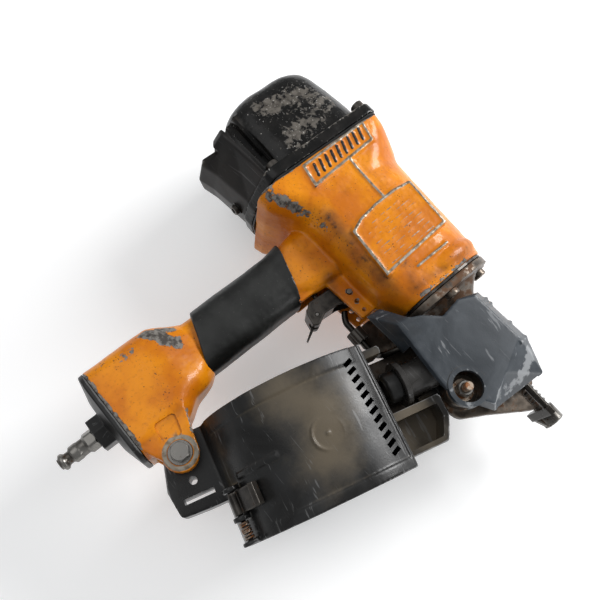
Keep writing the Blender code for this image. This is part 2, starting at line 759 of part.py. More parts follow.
def make_end_cap():
    front = BLOCK_REAR - GAP
    low, high = BLOCK_BOTTOM - 5.0, BLOCK_TOP
    cap = loft(
        "end_cap",
        [
            (front, section((-BLOCK_SIDE, low), (BLOCK_SIDE, high), BLOCK_CORNER)),
            (front - 3.5, section((-BLOCK_SIDE, low), (BLOCK_SIDE, high), BLOCK_CORNER)),
            (front - END_CAP_TAPER, section((-15.0, PLUG_Z - 20.0), (15.0, PLUG_Z + 20.0), 12.0)),
        ],
        "X",
    )
    join(cap, rod("hex_boss", 12.6, front - 17.0, front - 4.0, (0.0, PLUG_Z), "X", 6))
    cut(cap, rod("air_hole", 5.2, -300.0, -200.0, (0.0, PLUG_Z), "X", SMALL_SEGMENTS))
    for i, z in enumerate(END_SCREWS):
        cut(cap, rod(f"end_cap_hole_{i}", 2.4, -300.0, -200.0, (0.0, z), "X", 10))
        cap_screw(f"end_cap_screw_{i + 1}", (0.0, z), front - 3.0, BLOCK_REAR + 9.0, "X", 2.0, (3.6, 2.6))
        cut(cap, rod(f"end_cap_seat_{i}", 4.4, -300.0, front - 3.0, (0.0, z), "X", 12))
    return finish(cap, "plastic_black")


def make_air_plug():
    """The quick-connect plug: a hex nut, a shank with a locking groove and a bevelled tip, bored through."""
    root = BLOCK_REAR - GAP - 17.0
    steps = [
        (4.6, 12.0),
        (4.6, -GAP),
        (7.2, -GAP),
        (7.2, -6.5),
        (5.6, -8.0),
        (5.6, -12.0),
        (6.0, -13.5),
        (6.0, -17.5),
        (4.2, -19.0),
        (4.2, -22.0),
        (5.8, -23.5),
        (5.8, -25.5),
        (3.9, -26.5),
        (3.9, PLUG_LENGTH),
        (2.4, PLUG_LENGTH),
        (2.4, 12.0),
    ]
    profile = [(radius, root + height) for radius, height in steps]
    plug = turned("air_plug", profile, (0.0, 0.0, PLUG_Z), "X", 18)
    return finish(plug, "steel_bright")


# Trigger


def make_trigger():
    outline = [(-50.4, -95.0), (-59.0, -88.5), (-80.0, -87.0), (-86.5, -92.5), (-88.5, -102.0)]
    outline += [(-84.5, -104.5), (-76.0, -100.5), (-64.0, -101.5), (-54.0, -105.5), (-50.2, -104.0)]
    width = TRIGGER_SLOT - 0.8
    trigger = plate("trigger", rounded(outline, 2.0, 2), -width, width, "Y")
    inner = [(-40.0, -80.0), (-79.0, -80.0), (-84.0, -92.5), (-85.3, -102.2), (-81.0, -101.0)]
    inner += [(-76.0, -98.9), (-67.8, -99.5), (-67.8, -115.0), (-40.0, -115.0)]
    cut(trigger, plate("trigger_hollow", inner, -width + 1.7, width - 1.7, "Y"))
    cut(trigger, block("lever_exit", (-95.0, -2.6, -106.0), (-80.5, 2.6, -98.0)))
    cut(trigger, rod("trigger_eye", PIN_RADIUS + GAP, -30.0, 30.0, TRIGGER_PIVOT, "Y", SMALL_SEGMENTS))
    cut(trigger, rod("lever_eye", LEVER_PIN_RADIUS + GAP, -30.0, 30.0, LEVER_PIVOT, "Y", SMALL_SEGMENTS))
    pivot = (TRIGGER_PIVOT[0], 0.0, TRIGGER_PIVOT[1])
    finish(trigger, "steel_dark", origin=pivot)
    pin = rod("lever_pin", LEVER_PIN_RADIUS, -width, width, LEVER_PIVOT, "Y", SMALL_SEGMENTS)
    finish(pin, "steel_bright", origin=pivot)
    hinge_pin = rod("trigger_pin", PIN_RADIUS, -14.5, 14.5, TRIGGER_PIVOT, "Y", SMALL_SEGMENTS)
    finish(hinge_pin, "steel_bright")
    coil = coil_points(3.3, -5.6, 5.6, 5, pivot, "Y", 8)
    finish(tube("trigger_spring", coil, 0.5, resolution=0), "steel_bright")


def make_trip_lever():
    """The lever inside the trigger, from the contact arm's tip back past its pivot to a thin tail."""
    bar = [(-59.2, -94.2), (-79.0, -95.0), (-84.0, -98.3), (-90.0, -102.0), (-97.5, -106.5)]
    under = [(-97.0, -107.8), (-89.0, -103.8), (-82.5, -100.2), (-77.0, -97.3), (-66.0, -95.8), (-59.2, -95.8)]
    lever = plate("trip_lever", bar + under, -2.2, 2.2, "Y")
    join(lever, rod("lever_barrel", 2.9, -5.5, 5.5, LEVER_PIVOT, "Y", 14))
    cut(lever, rod("lever_bore", LEVER_PIN_RADIUS + GAP, -20.0, 20.0, LEVER_PIVOT, "Y", SMALL_SEGMENTS))
    return finish(lever, "steel_dark", origin=(LEVER_PIVOT[0], 0.0, LEVER_PIVOT[1]))


def make_trigger_valve():
    profile = [
        (VALVE_RADIUS, VALVE_TOP),
        (VALVE_RADIUS, VALVE_BOTTOM),
        (2.4, VALVE_BOTTOM),
        (2.4, -75.0),
        (4.8, -75.0),
        (4.8, -54.5),
        (2.4, -54.5),
        (2.4, VALVE_TOP),
    ]
    finish(turned("valve_body", profile, (VALVE_X, 0.0, 0.0), segments=20), "aluminium_cast")
    stem = [(0.0, -57.5), (2.0, -57.5), (2.0, -71.5), (4.3, -71.5), (4.3, -74.4), (2.0, -74.4)]
    stem += [(2.0, STEM_TIP + 1.0), (1.2, STEM_TIP), (0.0, STEM_TIP)]
    solid = turned("valve_stem", stem, (VALVE_X, 0.0, 0.0), segments=14)
    finish(solid, "steel_bright", origin=(VALVE_X, 0.0, STEM_TIP))
    coil = coil_points(3.4, -70.5, -55.6, 5, (VALVE_X, 0.0, 0.0), per_turn=9)
    finish(tube("valve_spring", coil, 0.45, resolution=0), "steel_bright")


# Nose


def make_nose_gasket():
    low, high = BARREL_BOTTOM - 1.9, BARREL_BOTTOM - GAP
    gasket = plate("nose_gasket", bellied(-37.5, 40.0, 42.5, 16.5, 35.5), low, high)
    lug = rod("gasket_lug", LUG_RADIUS - 0.5, low + LUG_STEP, high - LUG_STEP, NOSE_BOLTS[0], segments=24)
    join(gasket, lug)
    cut(gasket, rod("nose_gasket_bore", 30.0, -200.0, -100.0))
    for i, at in enumerate(NOSE_BOLTS):
        cut(gasket, rod(f"nose_gasket_hole_{i}", BOLT_HOLE, -200.0, -100.0, at, segments=SMALL_SEGMENTS))
    return finish(gasket, "steel_bright")


def make_nose_casting():
    """The steel nose: bolting flange, neck, drive channel, tip and the two arms that hold the magazine."""
    flange_low = NOSE_TOP - FLANGE_THICK
    nose = plate("nose_casting", bellied(-38.0, 40.5, 43.0, 17.0, 36.0), flange_low, NOSE_TOP)
    lug = rod("nose_lug", LUG_RADIUS, flange_low + LUG_STEP, NOSE_TOP - LUG_STEP, NOSE_BOLTS[0], segments=24)
    join(nose, lug)
    join(nose, plate("wire_guard", WIRE_GUARD, 6.9, 9.6, "Y"))
    neck = loft(
        "neck",
        [
            (height, section((rear, -side), (front, side), corner))
            for height, rear, front, side, corner in (
                (flange_low + 1.0, -22.0, 32.0, 24.0, 11.0),
                (-154.0, -17.0, 23.0, 17.0, 9.0),
                (-166.0, -14.0, 15.0, 12.5, 5.0),
                (-222.0, -14.0, 14.0, 12.0, 5.0),
                (-230.0, -8.0, 8.0, 8.0, 4.0),
                (-233.0, -6.0, 6.0, 6.0, 3.0),
            )
        ],
    )
    join(nose, neck, rod("tip_tube", NOSE_TUBE_RADIUS, NOSE_TIP, -228.0, segments=20))
    arm = rounded(
        [(-62.0, -196.0, 9.0), (-60.5, -214.0, 9.0), (-42.0, -225.0, 6.0), (-15.0, -243.5, 2.0)]
        + [(-13.0, -242.0, 0.5), (-13.0, -231.0, 1.0), (-4.0, -229.0, 1.0), (-4.0, -190.0, 1.0)]
        + [(-40.0, -190.0, 6.0)],
        5.0,
        3,
    )
    join(nose, plate("near_arm", arm, *NEAR_ARM, "Y"))
    join(nose, block("arm_root", (-19.0, NEAR_ARM[0] + 0.5, -228.0), (-4.5, -10.0, -192.0), 2.0))
    join(nose, rod("near_boss", 11.0, NEAR_BOSS, NEAR_ARM[1] - 1.0, NOSE_BOLT, "Y", 18))
    lugs = rounded([(-37.5, -181.0), (-45.0, -208.5), (-8.0, -208.5), (-8.0, -181.0)], 2.0, 2)
    join(nose, plate("door_lugs", lugs, 9.0, 19.5, "Y"))
    channel = rod("drive_channel", DRIVE_CHANNEL, -300.0, -100.0, segments=20)
    entry = block("nail_entry", (-50.0, -5.2, -228.0), (0.0, 5.2, -158.0))
    door_gap = block("door_gap", (-60.0, 4.0, -202.5), (-15.5, 40.0, -186.5))
    stud_hole = rod("stud_hole", 3.5, -40.0, 0.0, NOSE_BOLT, "Y", SMALL_SEGMENTS)
    cut(nose, channel, entry, door_gap, stud_hole)
    cut(nose, along_door_hinge("door_pin_hole", DOOR_PIN_RADIUS + GAP, 30.0))
    for i, at in enumerate(NOSE_BOLTS):
        cut(nose, rod(f"nose_hole_{i}", BOLT_HOLE, -200.0, -100.0, at, segments=SMALL_SEGMENTS))
        cap_screw(f"nose_bolt_{i + 1}", at, flange_low, NOSE_BOLT_TIP, head=(5.2, 4.2))
    return finish(nose, "steel_dark")


def along_door_hinge(name, radius, reach):
    """A rod on the nail door's hinge axis, which leans with the magazine, placed in the tool's frame."""
    made = rod(name, radius, -reach, reach, DOOR_HINGE, segments=SMALL_SEGMENTS)
    made.data.transform(Matrix.Rotation(radians(MAGAZINE_TILT), 4, "Y"))
    made.data.transform(Matrix.Translation(Vector(MAGAZINE_AT) * MM))
    return made


def make_nose_shield():
    """The moulded cover over the contact arm and the feed cylinder, open toward the tool's middle."""
    near = [(-55, -142), (-46, -143), (-38.5, -147), (-27, -157), (-11, -155), (1, -161)]
    near += [(4, -205), (-4, -227), (-43, -221), (-60, -194), (-56, -152)]
    middle = [(-62, -123.5), (-51, -125), (-41, -150), (-25, -158), (-4, -156), (12, -160)]
    middle += [(15, -205), (5, -230), (-40, -226), (-60, -194), (-60, -150)]
    inner = [(-62, -123.5), (-51, -125), (-41, -150), (-25, -158), (2, -157), (21, -160)]
    inner += [(23, -207), (12, -231), (-38, -227), (-60, -194), (-60, -150)]
    shield = loft("nose_shield", [(-42.0, near), (-28.0, middle), (-7.0, inner)], "Y")
    hollow = [(-39.5, shrunk(near, 2.6)), (-27.0, shrunk(middle, 2.6)), (10.0, shrunk(inner, 2.6))]
    cut(shield, loft("shield_hollow", hollow, "Y"))
    cut(shield, rod("bolt_recess", 13.0, -50.0, 0.0, NOSE_BOLT, "Y", 18))
    cut(shield, block("arm_clearance", (-70.0, -29.3, -250.0), (0.0, 2.0, -186.3)))
    cut(shield, block("body_clearance", (-2.0, -28.7, -251.0), (15.7, 3.0, -221.3)))
    cut(shield, block("side_clearance", (-2.0, -14.5, -222.0), (15.9, 3.0, -205.0)))
    cut(shield, block("neck_clearance", (-26.3, -25.3, -171.0), (34.0, 4.0, -140.0)))
    cut(shield, block("rod_exit", (-80.0, -26.6, -161.7), (-53.3, 5.0, -115.0)))
    cut(shield, block("feed_exit", (-90.0, -38.5, -212.0), (-52.0, 6.0, -158.0)))
    return finish(shield, "plastic_black")


def shrunk(points, by):
    """The outline moved inward by a wall thickness. The points run clockwise."""
    count = len(points)
    moved = []
    for i, point in enumerate(points):
        here = Vector(point)
        before = (here - Vector(points[i - 1])).normalized()
        after = (Vector(points[(i + 1) % count]) - here).normalized()
        along = (before + after).normalized()
        moved.append((here.x + along.y * by, here.y - along.x * by))
    return moved


# Contact arm


def make_contact_arm():
    """One bent steel arm, from the foot round the nose tip up to the trip lever."""
    arm = ring("contact_arm", 7.6, NOSE_TUBE_RADIUS + 0.5, FOOT_TIP, -250.0, segments=20)
    foot = [(-7.1, -252.5), (-7.1, -246.5), (-11.5, -246.5), (-11.5, -252.5)]
    join(arm, plate("foot_bridge", foot, ARM_WIRE_Y - 2.6, 3.0, "Y"))
    web = [(-7.1, -261.0), (-7.1, -252.0), (-11.0, -252.0)]
    join(arm, plate("foot_web", web, -2.0, 2.0, "Y"))
    route = [
        (-8.8, ARM_WIRE_Y, -249.0),
        (-8.8, ARM_WIRE_Y, -214.0),
        (-30.0, ARM_WIRE_Y, -178.0),
        (-52.0, ARM_WIRE_Y, -156.0),
        (ARM_ROD_X, -14.0, -150.0),
        (ARM_ROD_X, 0.0, -144.0),
        (ARM_ROD_X, 0.0, -115.0),
        (-61.5, 0.0, -107.0),
    ]
    join(arm, tube("arm_wire", route, ARM_WIRE_RADIUS))
    finish(arm, "steel_bright", origin=(0.0, 0.0, FOOT_TIP))
    coil = coil_points(6.1, -248.7, -234.2, 4, per_turn=9)
    finish(tube("contact_spring", coil, 0.5, resolution=0), "steel_bright")


def make_depth_dial():
    """The thumb wheel on the contact arm's rod, with finger notches round its rim."""
    dial = ring("depth_dial", 6.4, ARM_WIRE_RADIUS + GAP, -132.0, -122.0, (ARM_ROD_X, 0.0), segments=18)
    for i in range(8):
        turn = 2 * pi * i / 8
        at = (ARM_ROD_X + 7.2 * cos(turn), 7.2 * sin(turn))
        cut(dial, rod(f"dial_notch_{i}", 1.5, -140.0, -110.0, at, segments=8))
    return finish(dial, "steel_dark", origin=(ARM_ROD_X, 0.0, -127.0))


# Magazine. Everything here is made in the magazine's frame.


def in_magazine(made):
    made.parent = MAGAZINE
    return made


def rim_angle(x):
    """The angle, in degrees, at which the drum's rim reaches an X."""
    return degrees(acos(x / DRUM_RADIUS))


def drum_inside():
    front = DRUM_FRONT - DRUM_WALL
    radius = DRUM_RADIUS - DRUM_WALL
    edge = degrees(acos(front / radius))
    reach = DRUM_HALF - DRUM_WALL
    return plate("drum_inside", arc((0.0, 0.0), radius, edge, 360.0 - edge, 34), -reach, reach)


def nail_exit():
    return block("nail_exit", (30.0, EXIT_NEAR, -EXIT_HALF), (DRUM_FRONT + 10.0, EXIT_FAR, EXIT_HALF))


def make_magazine_housing():
    """The near half of the drum with its rear sector, rear bracket and front frame."""
    front, rear = rim_angle(DRUM_FRONT), rim_angle(REAR_SPLIT - SPLIT)
    outline = [(DRUM_FRONT, -SPLIT)]
    outline += arc((0.0, 0.0), DRUM_RADIUS, -front, rear - 360.0, 26)
    outline += [(REAR_SPLIT - SPLIT, -SPLIT)]
    drum = in_magazine(plate("magazine_housing", outline, -DRUM_HALF, DRUM_HALF))
    bracket = rounded(
        [(-60.0, 40.0, 0.0), (-72.0, 39.9, 3.0), (-88.0, 40.0, 8.0), (-97.0, 29.0, 8.0), (-101.5, 9.2, 4.0)]
        + [(-98.5, -8.6, 3.0), (-80.5, -9.7, 1.0), (-60.0, -10.0, 0.0)],
        3.0,
        3,
    )
    join(drum, plate("rear_bracket", bracket, -13.8, 13.8, "Y"))
    frame = [(36.0, 40.0), (58.5, 40.0), (58.5, 34.0), (42.0, 34.0), (42.0, -5.0), (81.0, -5.0)]
    frame += [(81.0, -21.0), (73.0, -35.0), (36.0, -35.0)]
    join(drum, plate("front_frame", rounded(frame, 1.5, 2), -30.0, -9.5, "Y"))
    tongue = [(72.0, -1.0, 0.0), (72.0, -20.0, 0.0), (97.0, -20.5, 10.0), (107.0, -9.6, 8.0), (97.0, 1.0, 10.0)]
    join(drum, plate("tongue", rounded(tongue, 9.0, 4), -15.2, -11.6, "Y"))
    cut(drum, drum_inside(), nail_exit())
    pocket = rounded([(45.0, -10.5), (45.0, -31.0), (71.0, -31.0), (77.0, -20.0), (77.0, -10.5)], 1.5, 2)
    cut(drum, plate("frame_pocket", pocket, -40.0, -13.0, "Y"))
    boss = magazine_place(BOSS)
    nose = magazine_place(NOSE_BOLT)
    cut(drum, rod("bracket_hole", BOLT_HOLE, -40.0, 40.0, boss, "Y", SMALL_SEGMENTS))
    cut(drum, rod("tongue_hole", 3.5, -40.0, 0.0, nose, "Y", SMALL_SEGMENTS))
    cut(drum, block("bracket_slot", (-94.0, -40.0, -2.0), (-74.0, 40.0, 1.5)))
    cut(drum, rod("bracket_eye", 2.6, -40.0, 40.0, (-84.1, 10.1), "Y", SMALL_SEGMENTS))
    cut(drum, viewing_slots())
    add_fixed_knuckles(drum)
    add_catch_lugs(drum)
    return finish(drum, "plastic_black", MAGAZINE)


def magazine_place(at):
    """A place in the tool's XZ plane, as (X, Z) in the magazine's frame."""
    offset = Vector((at[0] - MAGAZINE_AT[0], 0.0, at[1] - MAGAZINE_AT[2]))
    local = Matrix.Rotation(radians(-MAGAZINE_TILT), 3, "Y") @ offset
    return (local.x, local.z)


def viewing_slots():
    """A column of slanted slots through the near wall, for seeing how many nails are left."""
    shape = bmesh.new()
    for i in range(SLOT_COUNT):
        share = i / (SLOT_COUNT - 1)
        place = Vector((25.5 + 3.7 * share, -64.0, 31.0 - 58.0 * share)) * MM
        turn = Matrix.Translation(place) @ Matrix.Rotation(radians(-23.0), 4, "Y")
        size = Matrix.Diagonal((6.6 * MM, 16.0 * MM, 2.8 * MM, 1.0))
        bmesh.ops.create_cube(shape, size=1.0, matrix=turn @ size)
    return from_bmesh(shape, "viewing_slots")


def add_fixed_knuckles(drum):
    for side in (-1, 1):
        low, high = sorted((side * 14.0, side * 22.0))
        join(drum, rod(f"fixed_knuckle_{side}", KNUCKLE, low, high, HINGE, segments=SMALL_SEGMENTS))
    cut(drum, rod("cover_knuckle_relief", KNUCKLE + 0.6, -13.6, 13.6, HINGE, segments=SMALL_SEGMENTS))
    cut(drum, rod("hinge_hole", 2.1, -30.0, 30.0, HINGE, segments=SMALL_SEGMENTS))


def catch_point(radius, angle):
    return (radius * cos(radians(angle)), radius * sin(radians(angle)))


def add_catch_lugs(drum):
    """Two lugs with the fixed pin that the canister latch and its spring turn on."""
    at = catch_point(CATCH_RADIUS, CATCH_ANGLE)
    for low, high in ((-7.4, -4.4), (-25.0, -22.0), (-39.5, -37.0)):
        join(drum, rod(f"catch_lug{low:.0f}", 5.2, low, high, at, segments=SMALL_SEGMENTS))
    join(drum, rod("catch_pin", 1.2, -39.0, -5.0, at, segments=10))


def make_magazine_cover():
    """The far half of the drum, which swings open on the hinge at the rear."""
    front, rear = rim_angle(DRUM_FRONT), rim_angle(REAR_SPLIT)
    outline = [(DRUM_FRONT, SPLIT), (REAR_SPLIT, SPLIT)]
    outline += arc((0.0, 0.0), DRUM_RADIUS, rear, front, 13)
    cover = in_magazine(plate("magazine_cover", outline, -DRUM_HALF, DRUM_HALF))
    cut(cover, drum_inside(), nail_exit())
    join(cover, rod("cover_knuckle", KNUCKLE, -13.0, 13.0, HINGE, segments=SMALL_SEGMENTS))
    for side in (-1, 1):
        low, high = sorted((side * 13.6, side * 22.4))
        relief = rod(f"knuckle_relief_{side}", KNUCKLE + 0.6, low, high, HINGE, segments=SMALL_SEGMENTS)
        cut(cover, relief)
    cut(cover, rod("cover_hinge_hole", 2.1, -30.0, 30.0, HINGE, segments=SMALL_SEGMENTS))
    finish(cover, "plastic_black", MAGAZINE, (*HINGE, 0.0))
    pin = in_magazine(rod("hinge_pin", 1.8, -24.0, 24.0, HINGE, segments=SMALL_SEGMENTS))
    finish(pin, "steel_bright", MAGAZINE)


def make_nail_platform():
    """The post in the drum and the disc that the coil of nails sits on, which slides to suit the nail length."""
    reach = DRUM_HALF - DRUM_WALL - GAP
    post = in_magazine(rod("platform_post", 6.7, -reach, 30.0, segments=20))
    finish(post, "plastic_black", MAGAZINE)
    edge = degrees(acos(32.0 / 58.0))
    outline = arc((0.0, 0.0), 58.0, edge, 360.0 - edge, 24)
    disc = in_magazine(plate("nail_platform", outline, PLATFORM_HEIGHT, PLATFORM_HEIGHT + 2.5))
    join(disc, rod("platform_hub", 11.0, PLATFORM_HEIGHT, PLATFORM_HEIGHT + 9.0, segments=20))
    cut(disc, rod("hub_bore", 7.0, -40.0, 40.0, segments=20))
    finish(disc, "plastic_black", MAGAZINE, (0.0, 0.0, PLATFORM_HEIGHT))


def strip_outline(rear, front):
    """The side of the passage for the nails, whose lower corner is cut off toward the nose."""
    lower = [(rear, -DOOR_HALF), (68.0, -DOOR_HALF), (82.0, -20.0), (front, -16.0)]
    return lower + [(front, DOOR_HALF), (rear, DOOR_HALF)]


def make_nail_guide():
    guide = in_magazine(plate("nail_guide", strip_outline(DRUM_FRONT + GAP, 103.5), -8.5, -6.5, "Y"))
    for height in (-20.0, 20.0):
        cut(guide, block(f"guide_slot_{height:.0f}", (52.0, -12.0, height - 2.0), (76.0, 0.0, height + 2.0)))
    return finish(guide, "steel_bright", MAGAZINE)


def make_feed():
    """The air cylinder that draws the next nail up: cylinder, end cap, piston, spring and pawl."""
    outside = [(12.0, 86.2), (12.0, 64.0), (15.5, 64.0), (15.5, 60.0), (10.0, 60.0), (10.0, 84.5), (3.4, 84.5)]
    outside += [(3.4, 86.2)]
    at = (0.0, *FEED)
    cylinder = in_magazine(turned("feed_cylinder", outside, at, "X", 24))
    join(cylinder, block("feed_foot", (66.0, -14.5, 4.0), (84.0, -8.8, 18.0)))
    cut(cylinder, rod("feed_bore", FEED_BORE + 0.4, 50.0, 84.5, FEED, "X", 24))
    finish(cylinder, "aluminium_cast", MAGAZINE)
    cap = [(0.0, 63.0), (9.6, 63.0), (9.6, 59.7), (10.8, 59.7), (10.8, 51.5), (9.3, 50.0), (0.0, 50.0)]
    finish(in_magazine(turned("feed_cap", cap, at, "X", 20)), "plastic_black", MAGAZINE)
    piston = [(0.0, 101.0), (3.0, 101.0), (3.0, 84.0), (FEED_BORE, 84.0), (FEED_BORE, 77.0), (0.0, 77.0)]
    finish(in_magazine(turned("feed_piston", piston, at, "X", 20)), "steel_bright", MAGAZINE, at)
    coil = coil_points(7.2, 64.3, 75.8, 4, at, "X", 10)
    finish(in_magazine(tube("feed_spring", coil, 0.8, resolution=0)), "steel_bright", MAGAZINE)
    outline = [(95.5, -20.4), (101.0, -20.4), (103.0, -15.0), (103.0, -9.1), (99.5, -9.1), (98.0, -14.5)]
    pawl = in_magazine(plate("feed_pawl", rounded(outline, 0.6, 2), 8.5, 14.5))
    finish(pawl, "steel_dark", MAGAZINE, (98.5, -18.5, 11.0))


def make_nail_door():
    """The door over the nail strip, hinged at the nose, with its latch."""
    door = in_magazine(plate("nail_door", strip_outline(41.0, 100.5), DOOR_NEAR, DOOR_FAR, "Y"))
    join(door, block("door_strap", (95.0, DOOR_NEAR, -5.8), (106.0, DOOR_FAR, 5.8)))
    join(door, rod("door_knuckle", 4.4, -6.0, 6.0, DOOR_HINGE, segments=SMALL_SEGMENTS))
    join(door, rod("latch_post", 3.0, DOOR_FAR - 1.0, 17.2, LATCH_POST, "Y", 14))
    cut(door, rod("door_hinge_hole", DOOR_PIN_RADIUS + GAP, -20.0, 20.0, DOOR_HINGE, segments=SMALL_SEGMENTS))
    for height in (-22.0, 22.0):
        rib = block(f"door_rib_{height:.0f}", (60.0, DOOR_FAR - 1.0, height - 1.5), (76.0, 14.2, height + 1.5))
        join(door, rib)
    finish(door, "steel_dark", MAGAZINE, (*DOOR_HINGE, 0.0))
    latch = [(46.5, 6.0), (46.5, -6.0), (52.0, -6.0), (55.0, -18.0), (60.0, -18.0), (60.0, -8.0), (56.0, 6.0)]
    made = in_magazine(plate("door_latch", rounded(latch, 1.5, 2), DOOR_FAR + 0.4, 15.6, "Y"))
    cut(made, rod("latch_eye", 3.3, 0.0, 30.0, LATCH_POST, "Y", 14))
    finish(made, "steel_bright", MAGAZINE, (LATCH_POST[0], 14.0, LATCH_POST[1]))
    pin = along_door_hinge("door_pin", DOOR_PIN_RADIUS, 13.5)
    finish(pin, "steel_bright")


def make_canister_latch():
    """The spring catch on the near side of the drum that keeps its cover shut."""
    at = catch_point(CATCH_RADIUS, CATCH_ANGLE)
    band = arc((0.0, 0.0), DRUM_RADIUS + 3.7, 209.0, 222.0, 5)
    band += [catch_point(79.0, 224.0), catch_point(78.0, 226.5)]
    band += arc((0.0, 0.0), DRUM_RADIUS + 0.7, 224.0, 209.0, 5)
    latch = in_magazine(plate("canister_latch", band, -21.5, -7.8))
    join(latch, rod("latch_barrel", 3.3, -21.5, -7.8, at, segments=14))
    cut(latch, rod("latch_bore", 1.5, -30.0, 0.0, at, segments=10))
    finish(latch, "steel_bright", MAGAZINE, (*at, 0.0))
    coil = coil_points(2.6, -36.0, -26.2, 6, (*at, 0.0), per_turn=8)
    finish(in_magazine(tube("latch_spring", coil, 0.7, resolution=0)), "steel_dark", MAGAZINE)


def hex_nut(name, radius, hole, low, high, at):
    nut = rod(name, radius, low, high, at, "Y", 6)
    cut(nut, rod(f"{name}_hole", hole, low - 5.0, high + 5.0, at, "Y", 14))
    return finish(nut, "steel_dark")


def make_magazine_bolts():
    """The stud, washer and nut that hold the magazine to the nose, and the bolt through the end block."""
    stud = rod("magazine_bolt_front", 3.1, -44.3, -9.0, NOSE_BOLT, "Y", SMALL_SEGMENTS)
    join(stud, rod("stud_head", 5.4, -11.3, -8.8, NOSE_BOLT, "Y", SMALL_SEGMENTS))
    finish(stud, "steel_dark")
    finish(ring("front_washer", 7.6, 3.5, NEAR_BOSS - 1.9, NEAR_BOSS - GAP, NOSE_BOLT, "Y", 18), "steel_bright")
    hex_nut("front_nut", 5.6, 3.5, -38.0, NEAR_BOSS - 2.2, NOSE_BOLT)
    face = -BOSS_SIDE - GAP
    finish(ring("rear_washer", 7.8, 3.3, face - 1.6, face, BOSS, "Y", 18), "steel_bright")
    bolt = rod("magazine_bolt_rear", BOLT_RADIUS, face - 3.0, 34.0, BOSS, "Y", SMALL_SEGMENTS)
    join(bolt, rod("bolt_head", 6.4, face - 8.0, face - 1.9, BOSS, "Y", 6))
    finish(bolt, "steel_dark")
    hex_nut("rear_nut", 6.4, 3.3, -face, -face + 6.0, BOSS)


def settle():
    """Lays the tool on its left side, rolled on the drum until the flange below the cap touches too."""
    bpy.context.view_layer.update()
    drum_axis = (MAGAZINE.matrix_world.to_3x3() @ Vector((0.0, 0.0, 1.0))).normalized()
    drum_across = Vector((0.0, 1.0, 0.0)).cross(drum_axis)
    centre = MAGAZINE.matrix_world.translation
    flange = points_of("cap_gasket", "housing", "cap")
    drum = points_of("magazine_cover", "magazine_housing")

    def depth(points, lean):
        down = Vector((0.0, 1.0, 0.0)) * cos(lean) + drum_across * sin(lean)
        return max(down.dot(point - centre) for point in points)

    low, high = 0.0, radians(30.0)
    for _ in range(30):
        lean = (low + high) / 2
        if depth(flange, lean) > depth(drum, lean):
            high = lean
        else:
            low = lean
    down = Vector((0.0, 1.0, 0.0)) * cos(lean) + drum_across * sin(lean)
    forward = Vector((1.0, 0.0, 0.0))
    forward = (forward - down * forward.dot(down)).normalized()
    up = -down
    TOOL.rotation_euler = Matrix((forward, up.cross(forward), up)).to_euler()
    bpy.context.view_layer.update()
    placed = points_of(*visible_names())
    lowest = [min(point[i] for point in placed) for i in range(3)]
    highest = [max(point[i] for point in placed) for i in range(3)]
    TOOL.location = (-(lowest[0] + highest[0]) / 2, -(lowest[1] + highest[1]) / 2, -lowest[2])


def visible_names():
    return [made.name for made in PARTS.objects if made.type == "MESH"]


def points_of(*names):
    """Every evaluated vertex of the named pieces, in world space."""
    graph = bpy.context.evaluated_depsgraph_get()
    points = []
    for name in names:
        solid = bpy.data.objects[name].evaluated_get(graph)
        points += [solid.matrix_world @ vertex.co for vertex in solid.data.vertices]
    return points


def build():
    make_housing()
    make_cap()
    make_cap_gasket()
    make_exhaust_hood()
    make_cap_bolts()
    make_sleeve()
    make_piston()
    make_bumper()
    make_head_valve()
    make_grip()
    make_end_cap()
    make_air_plug()
    make_trigger()
    make_trip_lever()
    make_trigger_valve()
    make_nose_gasket()
    make_nose_casting()
    make_nose_shield()
    make_contact_arm()
    make_depth_dial()
    make_magazine_housing()
    make_magazine_cover()
    make_nail_platform()
    make_nail_guide()
    make_feed()
    make_nail_door()
    make_canister_latch()
    make_magazine_bolts()
    settle()


build()
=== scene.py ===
"""The looks of a coil nailer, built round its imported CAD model.

Shapes are written in millimetres, in one of two frames. In the tool's frame +X points away from the handle,
+Y to the tool's left and +Z along the driver toward the cap. The magazine's frame is tilted with the nail
strip: +X there points to the nose, and +Z along the canister. The visible side of the tool is at -Y.
"""

import json
from math import acos, atan2, cos, degrees, pi, radians, sin

import bmesh
import bpy
import numpy as np
from mathutils import Matrix, Vector, noise


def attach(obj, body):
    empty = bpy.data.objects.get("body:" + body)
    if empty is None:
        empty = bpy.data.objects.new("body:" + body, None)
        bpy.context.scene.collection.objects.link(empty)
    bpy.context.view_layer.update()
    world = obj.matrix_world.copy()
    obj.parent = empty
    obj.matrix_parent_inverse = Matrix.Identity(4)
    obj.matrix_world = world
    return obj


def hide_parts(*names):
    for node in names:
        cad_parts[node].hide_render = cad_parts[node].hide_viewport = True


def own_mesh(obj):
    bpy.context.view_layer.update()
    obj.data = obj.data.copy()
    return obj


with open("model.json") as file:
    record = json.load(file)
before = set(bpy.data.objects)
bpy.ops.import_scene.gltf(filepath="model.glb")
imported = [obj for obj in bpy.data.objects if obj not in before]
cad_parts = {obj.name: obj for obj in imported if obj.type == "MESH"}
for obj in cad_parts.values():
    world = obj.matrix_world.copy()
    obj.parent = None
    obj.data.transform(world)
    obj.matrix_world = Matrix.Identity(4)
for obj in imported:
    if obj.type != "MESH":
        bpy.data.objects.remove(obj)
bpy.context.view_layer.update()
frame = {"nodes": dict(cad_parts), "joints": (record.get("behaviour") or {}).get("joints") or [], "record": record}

MM = 0.001
SHARP_ANGLE = 35.0

